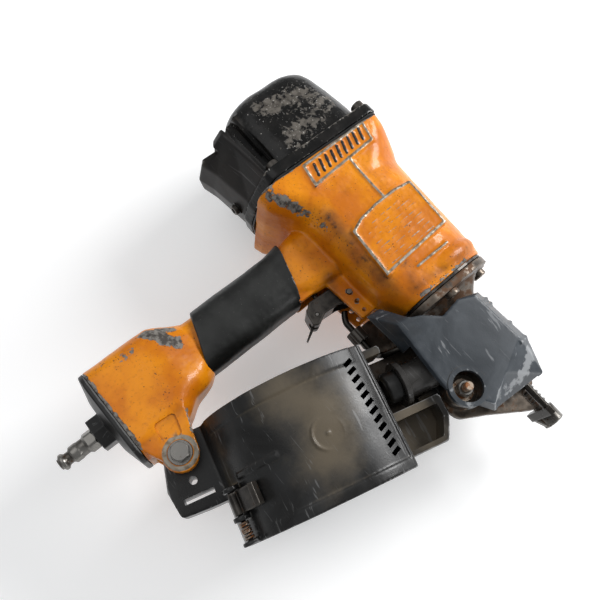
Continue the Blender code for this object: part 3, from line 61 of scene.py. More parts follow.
# Dimensions shared with the CAD model, in millimetres
GAP = 0.3
BARREL_TOP = -14.0
BARREL_BOTTOM = -139.5
CAP_BOTTOM = -12.0
CAP_SEAT = -3.0
BOLT_HOLE = 3.2
STUD_HOLE = 3.5
HANDLE_Z = -62.4
GRIP_TALL = 41.6
BLOCK_REAR = -230.0
BLOCK_TOP = -33.0
BLOCK_CORNER = 13.0
BLOCK_BOTTOM = -100.0
BOSS = (-212.2, -114.9)
BOSS_SIDE = 25.2
BOSS_RADIUS = 11.8
NOSE_BOLT = (-48.1, -201.4)
NEAR_BOSS = -29.6
PLUG_Z = -68.5
END_SCREW_HEIGHTS = (-46.0, -92.0)
HOOD_SCREW = (0.0, 6.0)
TRIGGER_PIVOT = (-53.5, -100.0)
LEVER_PIVOT = (-81.0, -97.5)
VALVE_X = -70.5
WIRE_X = -66.5
FOOT_TIP = -262.0
NOSE_TOP = BARREL_BOTTOM - 2.2
NOSE_FLANGE_LOW = NOSE_TOP - 6.0
LUG_RADIUS = 7.8
WIRE_GUARD = [(-49.0, -122.2), (-57.0, -122.2), (-66.0, -128.0), (-67.0, -136.0), (-61.0, -143.0)]
WIRE_GUARD += [(-54.0, -157.0), (-42.0, -157.0), (-34.0, -147.0)]
WIRE_GUARD += [(-34.0, -142.5), (-39.8, -142.5), (-43.2, -133.0)]
CAP_BOLTS = [(39.5, -41.5), (39.5, 41.5), (-43.0, -40.5), (-43.0, 40.5)]
NOSE_BOLTS = [(38.5, 0.0), (-8.0, -36.8), (-8.0, 36.8)]
DRUM = 69.1
DRUM_HALF = 40.2
DRUM_WALL = 3.0
DRUM_FRONT = 38.5
REAR_SPLIT = -45.0
CATCH_RADIUS = 73.6
CATCH_ANGLE = 207.0
COVER_HINGE = (-47.0, 55.0)
KNUCKLE = 4.0
KNUCKLE_ROOM = 4.6
FEED_AXIS = (-24.0, 11.0)
DOOR_HINGE = (106.0, 15.0)

# Studio, in metres and degrees. Each light has its place in the view, its size and its power in watts.
FLOOR_HALF = 6.0
WORLD_STRENGTH = 0.42
FLOOR_GLOW = 0.30
CAMERA_TURN = 17.5
CAMERA_RISE = -11.7
CAMERA_ROLL = 48.4
CAMERA_AIM = (-0.0809, 0.0, -0.0799)
CAMERA_DISTANCE = 0.4628
LENS = 38.3
SENSOR = 36.0
LIGHTS = [
    ("key", (1.00, 0.90, 0.55), 0.55, 19.0),
    ("side", (1.20, -0.35, 0.45), 0.6, 5.0),
    ("fill", (-0.6, 0.6, 1.2), 1.2, 4.0),
]


def local_frame(across, along, anchor, place):
    """The matrix of a frame whose Y and Z axes are across and along. Its point place, in mm, is at anchor."""
    y, z = Vector(across).normalized(), Vector(along).normalized()
    turn = Matrix((y.cross(z), y, z)).transposed()
    return Matrix.Translation(Vector(anchor) - turn @ (Vector(place) * MM)) @ turn.to_4x4()


JOINTS = {joint["name"]: joint for joint in frame["joints"]}
TRIGGER = JOINTS["trigger_pull"]
HINGE = JOINTS["magazine_cover_hinge"]
UPWARD = -Vector(JOINTS["driver_stroke"]["axis"])
TOOL = local_frame(TRIGGER["axis"], UPWARD, TRIGGER["pos_m"], (TRIGGER_PIVOT[0], 0.0, TRIGGER_PIVOT[1]))
MAGAZINE = local_frame(TRIGGER["axis"], HINGE["axis"], HINGE["pos_m"], (*COVER_HINGE, 0.0))
TOOL_TO_MAGAZINE = MAGAZINE.inverted() @ TOOL


# Shapes: each function returns (points, faces), in millimetres

PLANES = {
    "Z": lambda x, y, height: (x, y, height),
    "Y": lambda x, z, height: (x, height, z),
    "X": lambda y, z, height: (height, y, z),
}


def arc(centre, radius, start, end, steps=24):
    """Points on an arc, from start to end in degrees."""
    turns = [radians(start + (end - start) * i / steps) for i in range(steps + 1)]
    return [(centre[0] + radius * cos(t), centre[1] + radius * sin(t)) for t in turns]


def rounded(corners, radius, steps=6):
    """The outline with each corner replaced by an arc. A corner may carry its own radius as a third value."""
    points = []
    for i, corner in enumerate(corners):
        here = Vector(corner[:2])
        before = (Vector(corners[i - 1][:2]) - here).normalized()
        after = (Vector(corners[(i + 1) % len(corners)][:2]) - here).normalized()
        half = before.angle(after) / 2
        size = corner[2] if len(corner) > 2 else radius
        if size < 0.05:
            points.append(tuple(here))
            continue
        reach = size / (sin(half) / cos(half))
        centre = here + (before + after).normalized() * (size / sin(half))
        first = here + before * reach - centre
        last = here + after * reach - centre
        start = atan2(first.y, first.x)
        sweep = (atan2(last.y, last.x) - start + pi) % (2 * pi) - pi
        for step in range(steps + 1):
            turn = start + sweep * step / steps
            points.append((centre.x + size * cos(turn), centre.y + size * sin(turn)))
    return points


def section(low, high, radius, steps=10):
    """A rectangle with rounded corners."""
    (x0, y0), (x1, y1) = low, high
    return rounded([(x0, y0), (x1, y0), (x1, y1), (x0, y1)], radius, steps)


def loft(stations, axis="Z"):
    """A solid through outlines of equal point counts. stations lists (height along the axis, outline)."""
    points, faces = [], []
    count = len(stations[0][1])
    for height, outline in stations:
        points += [PLANES[axis](x, y, height) for x, y in outline]
    for ring in range(len(stations) - 1):
        low = ring * count
        for i in range(count):
            k = (i + 1) % count
            faces.append((low + i, low + k, low + count + k, low + count + i))
    faces.append(tuple(range(count)))
    faces.append(tuple(range(len(points) - count, len(points))))
    return points, faces


def plate(outline, low, high, axis="Z"):
    """A flat outline made solid from low to high along the axis."""
    return loft([(low, outline), (high, outline)], axis)


def block(low, high):
    (x0, y0, z0), (x1, y1, z1) = low, high
    return plate([(x0, y0), (x1, y0), (x1, y1), (x0, y1)], z0, z1)


def eased(rows, steps=6):
    """Rows of numbers with more rows between them, on a smooth curve through all."""
    made = []
    for i in range(len(rows) - 1):
        nearby = [min(max(k, 0), len(rows) - 1) for k in (i - 1, i, i + 1, i + 2)]
        a, b, c, d = (np.array(rows[k], float) for k in nearby)
        for step in range(steps):
            t = step / steps
            out, back = (c - a) / 2, (d - b) / 2
            steep = 1.4 * np.abs(c - b)
            out, back = np.clip(out, -steep, steep), np.clip(back, -steep, steep)
            bend = (2 * t**3 - 3 * t**2 + 1) * b + (t**3 - 2 * t**2 + t) * out
            made.append(tuple(bend + (3 * t**2 - 2 * t**3) * c + (t**3 - t**2) * back))
    made.append(tuple(float(value) for value in rows[-1]))
    return made


def bellied(rear, front, side, rear_corner, front_corner):
    """A rectangle whose front corners are rounder than its rear ones."""
    corners = [(rear, -side, rear_corner), (front, -side, front_corner)]
    corners += [(front, side, front_corner), (rear, side, rear_corner)]
    return rounded(corners, rear_corner, 16)


def box_loft(rows, axis="Z", steps=6):
    """A solid through rounded rectangles. rows lists (height, low x, high x, low y, high y, corner)."""
    return loft([(h, section((x0, y0), (x1, y1), r)) for h, x0, x1, y0, y1, r in eased(rows, steps)], axis)


def turned(profile, at=(0.0, 0.0), axis="Z", segments=64):
    """A turned solid from a closed profile of (radius, height); at gives its place on the other two axes."""
    points, faces = [], []
    for i in range(segments):
        turn = 2 * pi * i / segments
        for radius, height in profile:
            points.append(PLANES[axis](at[0] + radius * cos(turn), at[1] + radius * sin(turn), height))
    count = len(profile)
    for i in range(segments):
        k = (i + 1) % segments
        for j in range(count):
            n = (j + 1) % count
            if profile[j][0] > 0.0 or profile[n][0] > 0.0:
                faces.append((i * count + j, k * count + j, k * count + n, i * count + n))
    return points, faces


def rod(radius, low, high, at=(0.0, 0.0), axis="Z", segments=48):
    return turned([(0.0, low), (radius, low), (radius, high), (0.0, high)], at, axis, segments)


def ring(outer, inner, low, high, at=(0.0, 0.0), axis="Z", segments=64, bevel=0.0):
    """A washer or a short pipe, with its four edges cut back by bevel."""
    profile = [(outer, low + bevel), (outer, high - bevel), (outer - bevel, high), (inner + bevel, high)]
    profile += [(inner, high - bevel), (inner, low + bevel), (inner + bevel, low), (outer - bevel, low)]
    return turned(profile, at, axis, segments)


def ball(centre, sizes, rings=16):
    """An ellipsoid. sizes are its half widths."""
    turns = [pi * i / rings - pi / 2 for i in range(rings + 1)]
    points, faces = turned([(cos(t), sin(t)) for t in turns], segments=2 * rings)
    return [tuple(centre[i] + p[i] * sizes[i] for i in range(3)) for p in points], faces


def flowing(points):
    """More points on a smooth curve through the given ones."""
    return [Vector(row) for row in eased(points, 8)]


def tube(points, radius, sides=12, closed=False):
    """A round wire along points, with flat ends."""
    path = [Vector(point) for point in points]
    count = len(path)
    made, faces = [], []
    side = None
    for i, here in enumerate(path):
        ahead = path[(i + 1) % count] if closed or i < count - 1 else here
        behind = path[i - 1] if closed or i > 0 else here
        along = (ahead - behind).normalized()
        if side is None:
            side = along.orthogonal().normalized()
        side = (side - along * side.dot(along)).normalized()
        other = along.cross(side)
        for k in range(sides):
            turn = 2 * pi * k / sides
            made.append(tuple(here + side * (radius * cos(turn)) + other * (radius * sin(turn))))
    for i in range(count if closed else count - 1):
        a, b = i * sides, ((i + 1) % count) * sides
        for k in range(sides):
            n = (k + 1) % sides
            faces.append((a + k, a + n, b + n, b + k))
    if not closed:
        faces += [tuple(range(sides)), tuple(range(len(made) - sides, len(made)))]
    return made, faces


def coil(radius, start, end, turns, at, axis, wire):
    """A compression spring with its end turns nearly closed."""
    per_turn = 28
    count = turns * per_turn
    path = []
    for i in range(count + 1):
        share = i / count
        height = start + (end - start) * (share - sin(4 * pi * share) / (4 * pi) * 0.45)
        turn = 2 * pi * i / per_turn
        spot = PLANES[axis](radius * cos(turn), radius * sin(turn), height)
        path.append(Vector(spot) + Vector(at))
    return tube(path, wire, 10)


# Pieces: Blender objects made of shapes


def make(name, shapes, where=TOOL):
    """One object from closed shapes, which may overlap."""
    mesh = bpy.data.meshes.new(name)
    points, faces = [], []
    for more_points, more_faces in shapes:
        faces += [tuple(i + len(points) for i in face) for face in more_faces]
        points += more_points
    mesh.from_pydata([Vector(point) * MM for point in points], [], faces)
    shape = bmesh.new()
    shape.from_mesh(mesh)
    bmesh.ops.remove_doubles(shape, verts=shape.verts, dist=1e-7)
    bmesh.ops.recalc_face_normals(shape, faces=shape.faces)
    shape.to_mesh(mesh)
    shape.free()
    piece = bpy.data.objects.new(name, mesh)
    bpy.context.scene.collection.objects.link(piece)
    piece.matrix_world = where
    return piece


def applied(piece):
    """Turns the piece's modifiers into its mesh."""
    graph = bpy.context.evaluated_depsgraph_get()
    old = piece.data
    mesh = bpy.data.meshes.new_from_object(piece.evaluated_get(graph))
    piece.modifiers.clear()
    piece.data = mesh
    bpy.data.meshes.remove(old)
    return piece


def soften(piece, passes):
    """Adds a modifier that rounds the piece's corners as a casting's are."""
    change = piece.modifiers.new("soften", "SMOOTH")
    change.factor = 0.5
    change.iterations = passes


def fused(piece, voxel, passes=0):
    """Melts the piece's shapes into one skin, softened in a number of passes."""
    remesh = piece.modifiers.new("skin", "REMESH")
    remesh.mode = "VOXEL"
    remesh.voxel_size = voxel * MM
    if passes:
        soften(piece, passes)
    return applied(piece)


def carve(piece, shapes, operation="DIFFERENCE"):
    """Cuts shapes out of the piece one after another."""
    where = piece.matrix_world.copy()
    cutters = [make(f"{piece.name}_cutter", [shape], where) for shape in shapes]
    for cutter in cutters:
        change = piece.modifiers.new("carve", "BOOLEAN")
        change.operation = operation
        change.solver = "MANIFOLD"
        change.object = cutter
    bpy.context.view_layer.update()
    applied(piece)
    for cutter in cutters:
        bpy.data.objects.remove(cutter, do_unlink=True)
    return piece


def vertex_places(piece):
    """The piece's vertices in its own frame, in millimetres."""
    flat = np.empty(len(piece.data.vertices) * 3)
    piece.data.vertices.foreach_get("co", flat)
    return flat.reshape(-1, 3) / MM


def vertex_directions(piece):
    """The skin's outward direction at each vertex."""
    flat = np.empty(len(piece.data.vertices) * 3)
    piece.data.vertex_normals.foreach_get("vector", flat)
    return flat.reshape(-1, 3)


def roughen(piece, height, size, seed=0.0):
    """Moves the skin in and out by up to height, with bumps about size across."""
    places = vertex_places(piece)
    shift = np.array([noise.noise(Vector(place / size) + Vector((seed, 0.0, 0.0))) for place in places])
    moved = places + vertex_directions(piece) * (shift * height)[:, None]
    piece.data.vertices.foreach_set("co", (moved * MM).ravel())
    piece.data.update()
    return piece


def neighbour_mean(values, first, second, degree):
    """Each vertex's mean of the values at its neighbours. Edges join first to second."""
    count = len(values)
    return (np.bincount(first, values[second], count) + np.bincount(second, values[first], count)) / degree


def mark_edges(piece):
    """Stores how sharply each point of the skin bends outward, as "edge", and inward, as "hollow"."""
    mesh = piece.data
    places = vertex_places(piece)
    count = len(places)
    ends = np.empty(len(mesh.edges) * 2, int)
    mesh.edges.foreach_get("vertices", ends)
    first, second = ends.reshape(-1, 2).T
    degree = np.maximum(np.bincount(first, minlength=count) + np.bincount(second, minlength=count), 1)
    lengths = np.linalg.norm(places[first] - places[second], axis=1)
    size = (np.bincount(first, lengths, count) + np.bincount(second, lengths, count)) / degree
    middle = np.stack([neighbour_mean(places[:, i], first, second, degree) for i in range(3)], axis=1)
    outward = ((places - middle) * vertex_directions(piece)).sum(axis=1)
    bend = 2.0 * outward / np.maximum(size, 0.2) ** 2
    for _ in range(2):
        bend = (bend + neighbour_mean(bend, first, second, degree)) / 2
    store(piece, "edge", np.clip(bend * 2.0, 0.0, 1.0))
    store(piece, "hollow", np.clip(-bend * 2.0, 0.0, 1.0))
    return piece


def store(piece, name, values):
    """Keeps one number for each vertex, which a material reads by name."""
    attribute = piece.data.attributes.get(name) or piece.data.attributes.new(name, "FLOAT", "POINT")
    attribute.data.foreach_set("value", values.astype(np.float32))


def nearness(piece, spots):
    """For each vertex, the strongest of the spots. A spot is (path of points, reach, strength)."""
    places = vertex_places(piece)
    strongest = np.zeros(len(places))
    for path, reach, strength in spots:
        corners = [np.array(point, float) for point in path]
        if len(corners) == 1:
            corners *= 2
        for start, end in zip(corners, corners[1:]):
            along = end - start
            share = np.clip((places - start) @ along / max(along @ along, 1e-9), 0.0, 1.0)
            away = np.linalg.norm(places - start - share[:, None] * along, axis=1)
            strongest = np.maximum(strongest, strength * np.clip(1.0 - away / reach, 0.0, 1.0))
    return strongest


def mark_spots(piece, **marks):
    """Stores a nearness under each name, such as wear or grime."""
    for name, spots in marks.items():
        store(piece, name, nearness(piece, spots))


def finish(piece, material, body="root", nodes=()):
    """Gives the piece its material, its body and the CAD nodes that it stands for."""
    piece.data.materials.clear()
    piece.data.materials.append(MATERIALS[material])
    piece.data.transform(piece.matrix_world)
    piece.matrix_world = Matrix()
    piece.data.shade_smooth()
    piece.data.set_sharp_from_angle(angle=radians(SHARP_ANGLE))
    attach(piece, body)
    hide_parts(*nodes)
    return piece


# Materials


class Surface:
    """A material under construction, with short ways to add the nodes it needs."""

    def __init__(self, name, **settings):
        self.material = bpy.data.materials.new(name)
        self.material.use_nodes = True
        self.tree = self.material.node_tree
        self.shader = self.tree.nodes["Principled BSDF"]
        self.place = self.tree.nodes.new("ShaderNodeTexCoord").outputs["Object"]
        for key, value in settings.items():
            self.shader.inputs[key.replace("_", " ").title().replace("Ior", "IOR")].default_value = value

    def put(self, socket, value):
        """Links a socket to the input, or sets a number or colour on it."""
        if isinstance(value, bpy.types.NodeSocket):
            self.tree.links.new(value, socket)
        elif hasattr(value, "__len__"):
            socket.default_value = (*value, 1.0) if len(socket.default_value) == 4 else value
        else:
            socket.default_value = value

    def noise(self, scale, detail=4.0, rough=0.55, stretch=None, distortion=0.0):
        """Cloudy variation about 0.5. A larger stretch along an axis makes it finer that way."""
        place = self.place
        if stretch:
            mapping = self.tree.nodes.new("ShaderNodeMapping")
            mapping.inputs["Scale"].default_value = stretch
            self.put(mapping.inputs["Vector"], self.place)
            place = mapping.outputs["Vector"]
        node = self.tree.nodes.new("ShaderNodeTexNoise")
        self.put(node.inputs["Vector"], place)
        node.inputs["Scale"].default_value = scale
        node.inputs["Detail"].default_value = detail
        node.inputs["Roughness"].default_value = rough
        node.inputs["Distortion"].default_value = distortion
        return node.outputs["Fac"]

    def mark(self, name):
        """A number stored on the piece's vertices, or 0 where a piece has none."""
        node = self.tree.nodes.new("ShaderNodeAttribute")
        node.attribute_name = name
        return node.outputs["Fac"]

    def sum(self, *terms):
        """Adds terms, each a socket or (socket, weight)."""
        total = None
        for term in terms:
            value, weight = term if isinstance(term, tuple) else (term, 1.0)
            node = self.tree.nodes.new("ShaderNodeMath")
            node.operation = "MULTIPLY_ADD"
            self.put(node.inputs[0], value)
            node.inputs[1].default_value = weight
            self.put(node.inputs[2], total if total is not None else 0.0)
            total = node.outputs[0]
        return total

    def times(self, first, second):
        node = self.tree.nodes.new("ShaderNodeMath")
        node.operation = "MULTIPLY"
        self.put(node.inputs[0], first)
        self.put(node.inputs[1], second)
        return node.outputs[0]

    def ramp(self, value, low, high, start=0.0, end=1.0):
        """Goes smoothly from start to end as value goes from low to high."""
        node = self.tree.nodes.new("ShaderNodeMapRange")
        node.interpolation_type = "SMOOTHSTEP"
        self.put(node.inputs["Value"], value)
        for name, number in (("From Min", low), ("From Max", high), ("To Min", start), ("To Max", end)):
            node.inputs[name].default_value = number
        return node.outputs["Result"]

    def mix(self, share, first, second):
        """Goes from the first colour to the second as share goes from 0 to 1."""
        node = self.tree.nodes.new("ShaderNodeMix")
        node.data_type = "RGBA"
        self.put(node.inputs[0], share)
        self.put(node.inputs[6], first)
        self.put(node.inputs[7], second)
        return node.outputs[2]

    def bump(self, height, distance, strength=1.0, below=None):
        """A relief of up to distance, in millimetres, over the relief below."""
        node = self.tree.nodes.new("ShaderNodeBump")
        node.inputs["Strength"].default_value = strength
        node.inputs["Distance"].default_value = distance * MM
        self.put(node.inputs["Height"], height)
        if below is not None:
            self.put(node.inputs["Normal"], below)
        return node.outputs["Normal"]

    def done(self, colour, roughness, normal, metallic=None):
        """Joins the finished values to the shader."""
        self.put(self.shader.inputs["Base Color"], colour)
        self.put(self.shader.inputs["Roughness"], roughness)
        self.put(self.shader.inputs["Normal"], normal)
        if metallic is not None:
            self.put(self.shader.inputs["Metallic"], metallic)
        return self.material


def orange_paint():
    """Orange enamel on a sand casting: pitted, stained, darkened by painted shade where the body marks it, chipped
    on its edges and bare on its raised lines.
    """
    s = Surface("orange_paint", specular_ior_level=0.20, coat_weight=0.16, coat_roughness=0.12)
    broad, fine = s.noise(38.0, 3.0), s.noise(420.0, 3.0)
    paint = s.mix(s.ramp(broad, 0.35, 0.68), (0.71, 0.236, 0.003), (0.52, 0.138, 0.002))
    paint = s.mix(s.ramp(fine, 0.52, 0.72, 0.0, 0.35), paint, (0.36, 0.092, 0.003))
    # Deep orange-brown mixed in: real dirt where the noise puts it, darker in the hollows, and painted shade where
    # the grime spots on the barrel's rear half lie
    dirt_and_painted_shade = s.sum(s.mark("grime"), (s.mark("hollow"), 0.5), (s.noise(60.0, 5.0), 0.75))
    stain_and_painted_shade = s.times(s.ramp(dirt_and_painted_shade, 0.62, 1.15), 0.85)
    paint = s.mix(stain_and_painted_shade, paint, (0.135, 0.042, 0.006))
    crust = s.times(s.ramp(s.noise(110.0, 6.0, 0.65), 0.55, 0.66), s.ramp(stain_and_painted_shade, 0.1, 0.7))
    paint = s.mix(crust, paint, (0.05, 0.024, 0.010))
    pits = s.ramp(s.sum(s.noise(760.0, 2.0), (s.noise(90.0, 3.0), 0.35), (s.mark("wear"), 0.16)), 0.875, 0.93)
    rubbed = s.sum((s.mark("edge"), 0.30), (s.mark("wear"), 0.62))
    chips = s.ramp(s.sum(rubbed, (s.noise(150.0, 6.0, 0.62), 0.62), (s.noise(40.0, 2.0), 0.25)), 0.735, 0.765)
    bare = s.ramp(s.sum(s.mark("bare"), (s.noise(210.0, 4.0), 0.42)), 0.55, 0.80)
    primer = s.mix(s.ramp(s.noise(300.0, 4.0), 0.4, 0.62), (0.055, 0.048, 0.042), (0.20, 0.185, 0.165))
    metal = s.mix(s.ramp(s.noise(260.0, 4.0), 0.40, 0.66), (0.31, 0.275, 0.225), (0.16, 0.115, 0.07))
    colour = s.mix(pits, paint, (0.045, 0.025, 0.012))
    ink = s.ramp(s.sum(s.mark("ink"), (s.noise(260.0, 5.0, 0.6), -0.5)), 0.26, 0.34)
    colour = s.mix(ink, colour, (0.014, 0.011, 0.009))
    colour = s.mix(chips, colour, primer)
    colour = s.mix(bare, colour, metal)
    rough = s.ramp(s.sum(broad, (fine, 0.4), (stain_and_painted_shade, 0.5), (chips, 0.7)), 0.4, 1.7, 0.27, 0.62)
    metallic = s.sum((bare, 0.55), (chips, 0.12))
    cast = s.bump(s.sum(s.noise(420.0, 4.0, 0.6), (s.noise(110.0, 2.0), 0.8)), 0.16, 0.5)
    dents = s.bump(s.sum((chips, -1.0), (pits, -0.8)), 0.14, 0.8, cast)
    return s.done(colour, rough, dents, metallic)


def cap_paint():
    """Black enamel worn down to a dusty grey-brown casting in patches, with bright nicks."""
    s = Surface("cap_paint", specular_ior_level=0.27)
    rubbed = s.sum((s.mark("wear"), 0.52), (s.mark("edge"), 0.18))
    flaking = s.noise(210.0, 8.0, 0.68, distortion=0.4)
    worn = s.ramp(s.sum(rubbed, (flaking, 0.72), (s.noise(48.0, 3.0), 0.22)), 0.715, 0.745)
    dust = s.ramp(s.sum(s.mark("grime"), (s.noise(55.0, 5.0), 0.6)), 0.55, 1.1)
    black = s.mix(s.ramp(s.noise(90.0, 4.0), 0.4, 0.7), (0.003, 0.0028, 0.0025), (0.010, 0.009, 0.008))
    black = s.mix(s.times(dust, 0.7), black, (0.085, 0.070, 0.055))
    under = s.mix(s.ramp(s.noise(210.0, 5.0), 0.38, 0.64), (0.050, 0.043, 0.035), (0.115, 0.103, 0.088))
    bright = s.sum(s.noise(560.0, 3.0, 0.6), (s.mark("wear"), 0.17), (s.mark("edge"), 0.14))
    nicks = s.ramp(bright, 0.725, 0.765)
    colour = s.mix(worn, black, under)
    colour = s.mix(nicks, colour, (0.46, 0.44, 0.41))
    rough = s.ramp(s.sum(worn, (s.noise(170.0, 3.0), 0.6), (dust, 0.5)), 0.2, 1.7, 0.26, 0.66)
    grain = s.bump(s.sum(s.noise(520.0, 4.0, 0.6), (s.noise(120.0, 2.0), 0.6)), 0.14, 0.45)
    steps = s.bump(s.sum((worn, -1.0), (nicks, -0.5)), 0.12, 0.9, grain)
    return s.done(colour, rough, steps, s.times(nicks, 0.8))


def moulded(name, dark, light, dusty, rough, scuffs, scuff_colour=(0.24, 0.24, 0.24)):
    """Glass-filled plastic: clouded, dusted, scratched, and paler where it is scuffed."""
    s = Surface(name, specular_ior_level=0.34)
    cloud = s.ramp(s.noise(26.0, 4.0, 0.6, distortion=0.6), 0.36, 0.68)
    colour = s.mix(cloud, dark, light)
    settled = s.sum(s.mark("grime"), (s.mark("hollow"), 0.5), (s.noise(48.0, 6.0, 0.65), 0.8))
    dust = s.ramp(settled, 0.55, 1.25)
    colour = s.mix(s.times(dust, 0.9), colour, dusty)
    lines = s.ramp(s.noise(95.0, 3.0, 0.7, stretch=(1.0, 0.16, 7.0)), 0.61, 0.68)
    cross = s.ramp(s.noise(120.0, 3.0, 0.7, stretch=(6.0, 0.3, 0.5)), 0.62, 0.69)
    rubbed = s.sum((s.mark("edge"), 0.42), (s.mark("wear"), 0.7), (s.noise(190.0, 6.0, 0.65), 0.62))
    rub = s.ramp(rubbed, 0.66, 0.80)
    scratch = s.ramp(s.sum(lines, (cross, 0.7), (rub, 1.6)), 0.2, 1.6, 0.0, scuffs)
    colour = s.mix(scratch, colour, scuff_colour)
    roughness = s.ramp(s.sum(cloud, (dust, 0.8), (scratch, 0.7)), 0.0, 2.2, *rough)
    grain = s.bump(s.sum(s.noise(900.0, 2.0), (s.noise(140.0, 3.0), 1.1)), 0.09, 0.4)
    return s.done(colour, roughness, s.bump(scratch, 0.03, 0.5, grain))


def rubber():
    """Black rubber, satin, with fine specks and rubbed patches."""
    s = Surface("grip_rubber", specular_ior_level=0.36)
    cloud = s.noise(45.0, 4.0)
    colour = s.mix(s.ramp(cloud, 0.38, 0.66), (0.0065, 0.0068, 0.0062), (0.015, 0.0155, 0.0145))
    specks = s.ramp(s.noise(820.0, 2.0), 0.71, 0.76)
    colour = s.mix(s.times(specks, 0.5), colour, (0.13, 0.125, 0.115))
    rub = s.ramp(s.sum(s.mark("wear"), (s.mark("edge"), 0.5), (s.noise(170.0, 5.0), 0.8)), 0.75, 1.2)
    colour = s.mix(s.times(rub, 0.6), colour, (0.075, 0.073, 0.068))
    roughness = s.ramp(s.sum(cloud, (rub, 0.6)), 0.3, 1.2, 0.36, 0.62)
    grain = s.bump(s.sum(s.noise(1100.0, 2.0), (s.noise(160.0, 3.0), 1.2)), 0.08, 0.5)
    return s.done(colour, roughness, grain)


def metal(name, dark, light, rust, rough, rust_from=0.62, metallic=0.9):
    """Machined metal: brushed, tarnished in patches, and brown where it has rusted."""
    s = Surface(name, metallic=metallic)
    patch = s.noise(75.0, 5.0, 0.6)
    colour = s.mix(s.ramp(s.sum(patch, (s.mark("edge"), 0.35)), 0.40, 0.66), dark, light)
    brushed = s.noise(260.0, 3.0, 0.6, stretch=(0.4, 0.4, 6.0))
    colour = s.mix(s.ramp(brushed, 0.40, 0.70, 0.0, 0.35), colour, light)
    damp = s.sum(s.noise(150.0, 6.0, 0.65), (s.mark("grime"), 0.25), (s.mark("hollow"), 0.12))
    rusty = s.ramp(damp, rust_from, rust_from + 0.09)
    colour = s.mix(rusty, colour, rust)
    colour = s.mix(s.ramp(s.mark("soot"), 0.0, 0.25, 0.0, 0.92), colour, (0.012, 0.010, 0.008))
    roughness = s.ramp(s.sum(patch, (brushed, 0.4), (rusty, 0.9)), 0.4, 1.8, *rough)
    height = s.sum(brushed, (s.noise(600.0, 3.0), 0.5), (rusty, 0.5))
    return s.done(colour, roughness, s.bump(height, 0.05, 0.35))


# Plastics: darkest and lightest colour, dust, range of roughness, scuffs and, where given, their colour
PLASTICS = {
    "hood": ((0.005, 0.0038, 0.0032), (0.012, 0.009, 0.0072), (0.040, 0.030, 0.022), (0.36, 0.62), 0.3),
    "canister": ((0.006, 0.0055, 0.005), (0.020, 0.020, 0.020), (0.118, 0.094, 0.063), (0.27, 0.55), 0.6),
    "cover": (
        (0.016, 0.021, 0.027),
        (0.040, 0.048, 0.057),
        (0.060, 0.052, 0.041),
        (0.34, 0.6),
        0.7,
        (0.28, 0.29, 0.30),
    ),
    "feed": ((0.012, 0.011, 0.010), (0.035, 0.033, 0.031), (0.055, 0.040, 0.026), (0.20, 0.5), 0.5),
    "black_plastic": ((0.007, 0.0068, 0.0065), (0.016, 0.0155, 0.015), (0.05, 0.042, 0.032), (0.3, 0.6), 0.4),
    "seal": ((0.16, 0.030, 0.018), (0.24, 0.05, 0.03), (0.10, 0.05, 0.04), (0.5, 0.7), 0.3),
}
# Metals: darkest and lightest colour, rust, range of roughness, where rust starts, and a metallic value
# where it is given
METALS = {
    "steel": ((0.070, 0.063, 0.055), (0.22, 0.21, 0.195), (0.075, 0.042, 0.022), (0.24, 0.58)),
    "dark_steel": (
        (0.012, 0.010, 0.0085), (0.060, 0.053, 0.046), (0.040, 0.022, 0.012), (0.26, 0.6), 0.60, 0.6
    ),
    "brown_steel": (
        (0.040, 0.031, 0.024), (0.12, 0.098, 0.078), (0.085, 0.045, 0.024), (0.34, 0.65), 0.54, 0.7
    ),
    "rusty_steel": ((0.14, 0.10, 0.075), (0.34, 0.27, 0.21), (0.21, 0.085, 0.032), (0.35, 0.7), 0.50, 0.75),
    "aluminium": ((0.40, 0.39, 0.38), (0.62, 0.61, 0.60), (0.26, 0.23, 0.20), (0.26, 0.5), 0.70, 0.95),
}
MATERIALS = {"orange": orange_paint(), "cap": cap_paint(), "rubber": rubber()}
MATERIALS.update({name: moulded(name, *values) for name, values in PLASTICS.items()})
MATERIALS.update({name: metal(name, *values) for name, values in METALS.items()})
NODE_LOOKS = {
    "cast_orange": "orange",
    "cap_black": "cap",
    "plastic_black": "black_plastic",
    "rubber_black": "rubber",
    "steel_bright": "steel",
    "steel_dark": "dark_steel",
    "aluminium_cast": "aluminium",
    "seal_rubber": "seal",
}

OWN_LOOKS = {"nail_guide": "brown_steel", "nose_gasket": "dark_steel", "feed_piston": "dark_steel"}


def dress_nodes():
    """Gives every CAD node the procedural material of its slot."""
    slots = {part["node"]: part["material_slot"] for part in frame["record"]["subparts"]}
    for name, node in frame["nodes"].items():
        look = MATERIALS[OWN_LOOKS.get(name, NODE_LOOKS[slots[name]])]
        for place in node.material_slots:
            place.material = look


# Body casting

BARREL_ROWS = [
    (BARREL_BOTTOM, -38.0, 40.5, 43.0, 17.0, 36.0),
    (BARREL_BOTTOM + 7.0, -41.0, 42.5, 44.5, 18.0, 39.0),
    (-118.0, -47.0, 43.5, 45.0, 19.0, 41.0),
    (-48.0, -50.0, 45.5, 45.5, 20.0, 40.0),
    (-38.0, -55.0, 46.5, 46.5, 18.0, 30.0),
    (-22.0, -67.0, 46.5, 48.5, 14.0, 15.0),
    (BARREL_TOP, -68.5, 46.0, 49.4, 12.0, 12.0),
]
NAME_FRAME = [(-29.5, -17.0), (28.0, -15.4), (25.0, -29.5), (-32.0, -33.0)]
NAME_PAD = [(-31.0, -15.0), (29.2, -14.5), (26.2, -31.0), (-33.6, -34.6)]
LABEL_FRAME = [(-34.0, -75.5), (-24.0, -71.5), (-8.0, -69.3), (10.0, -69.0), (24.0, -71.0)]
LABEL_FRAME += [(22.0, -108.8), (-37.0, -112.3)]
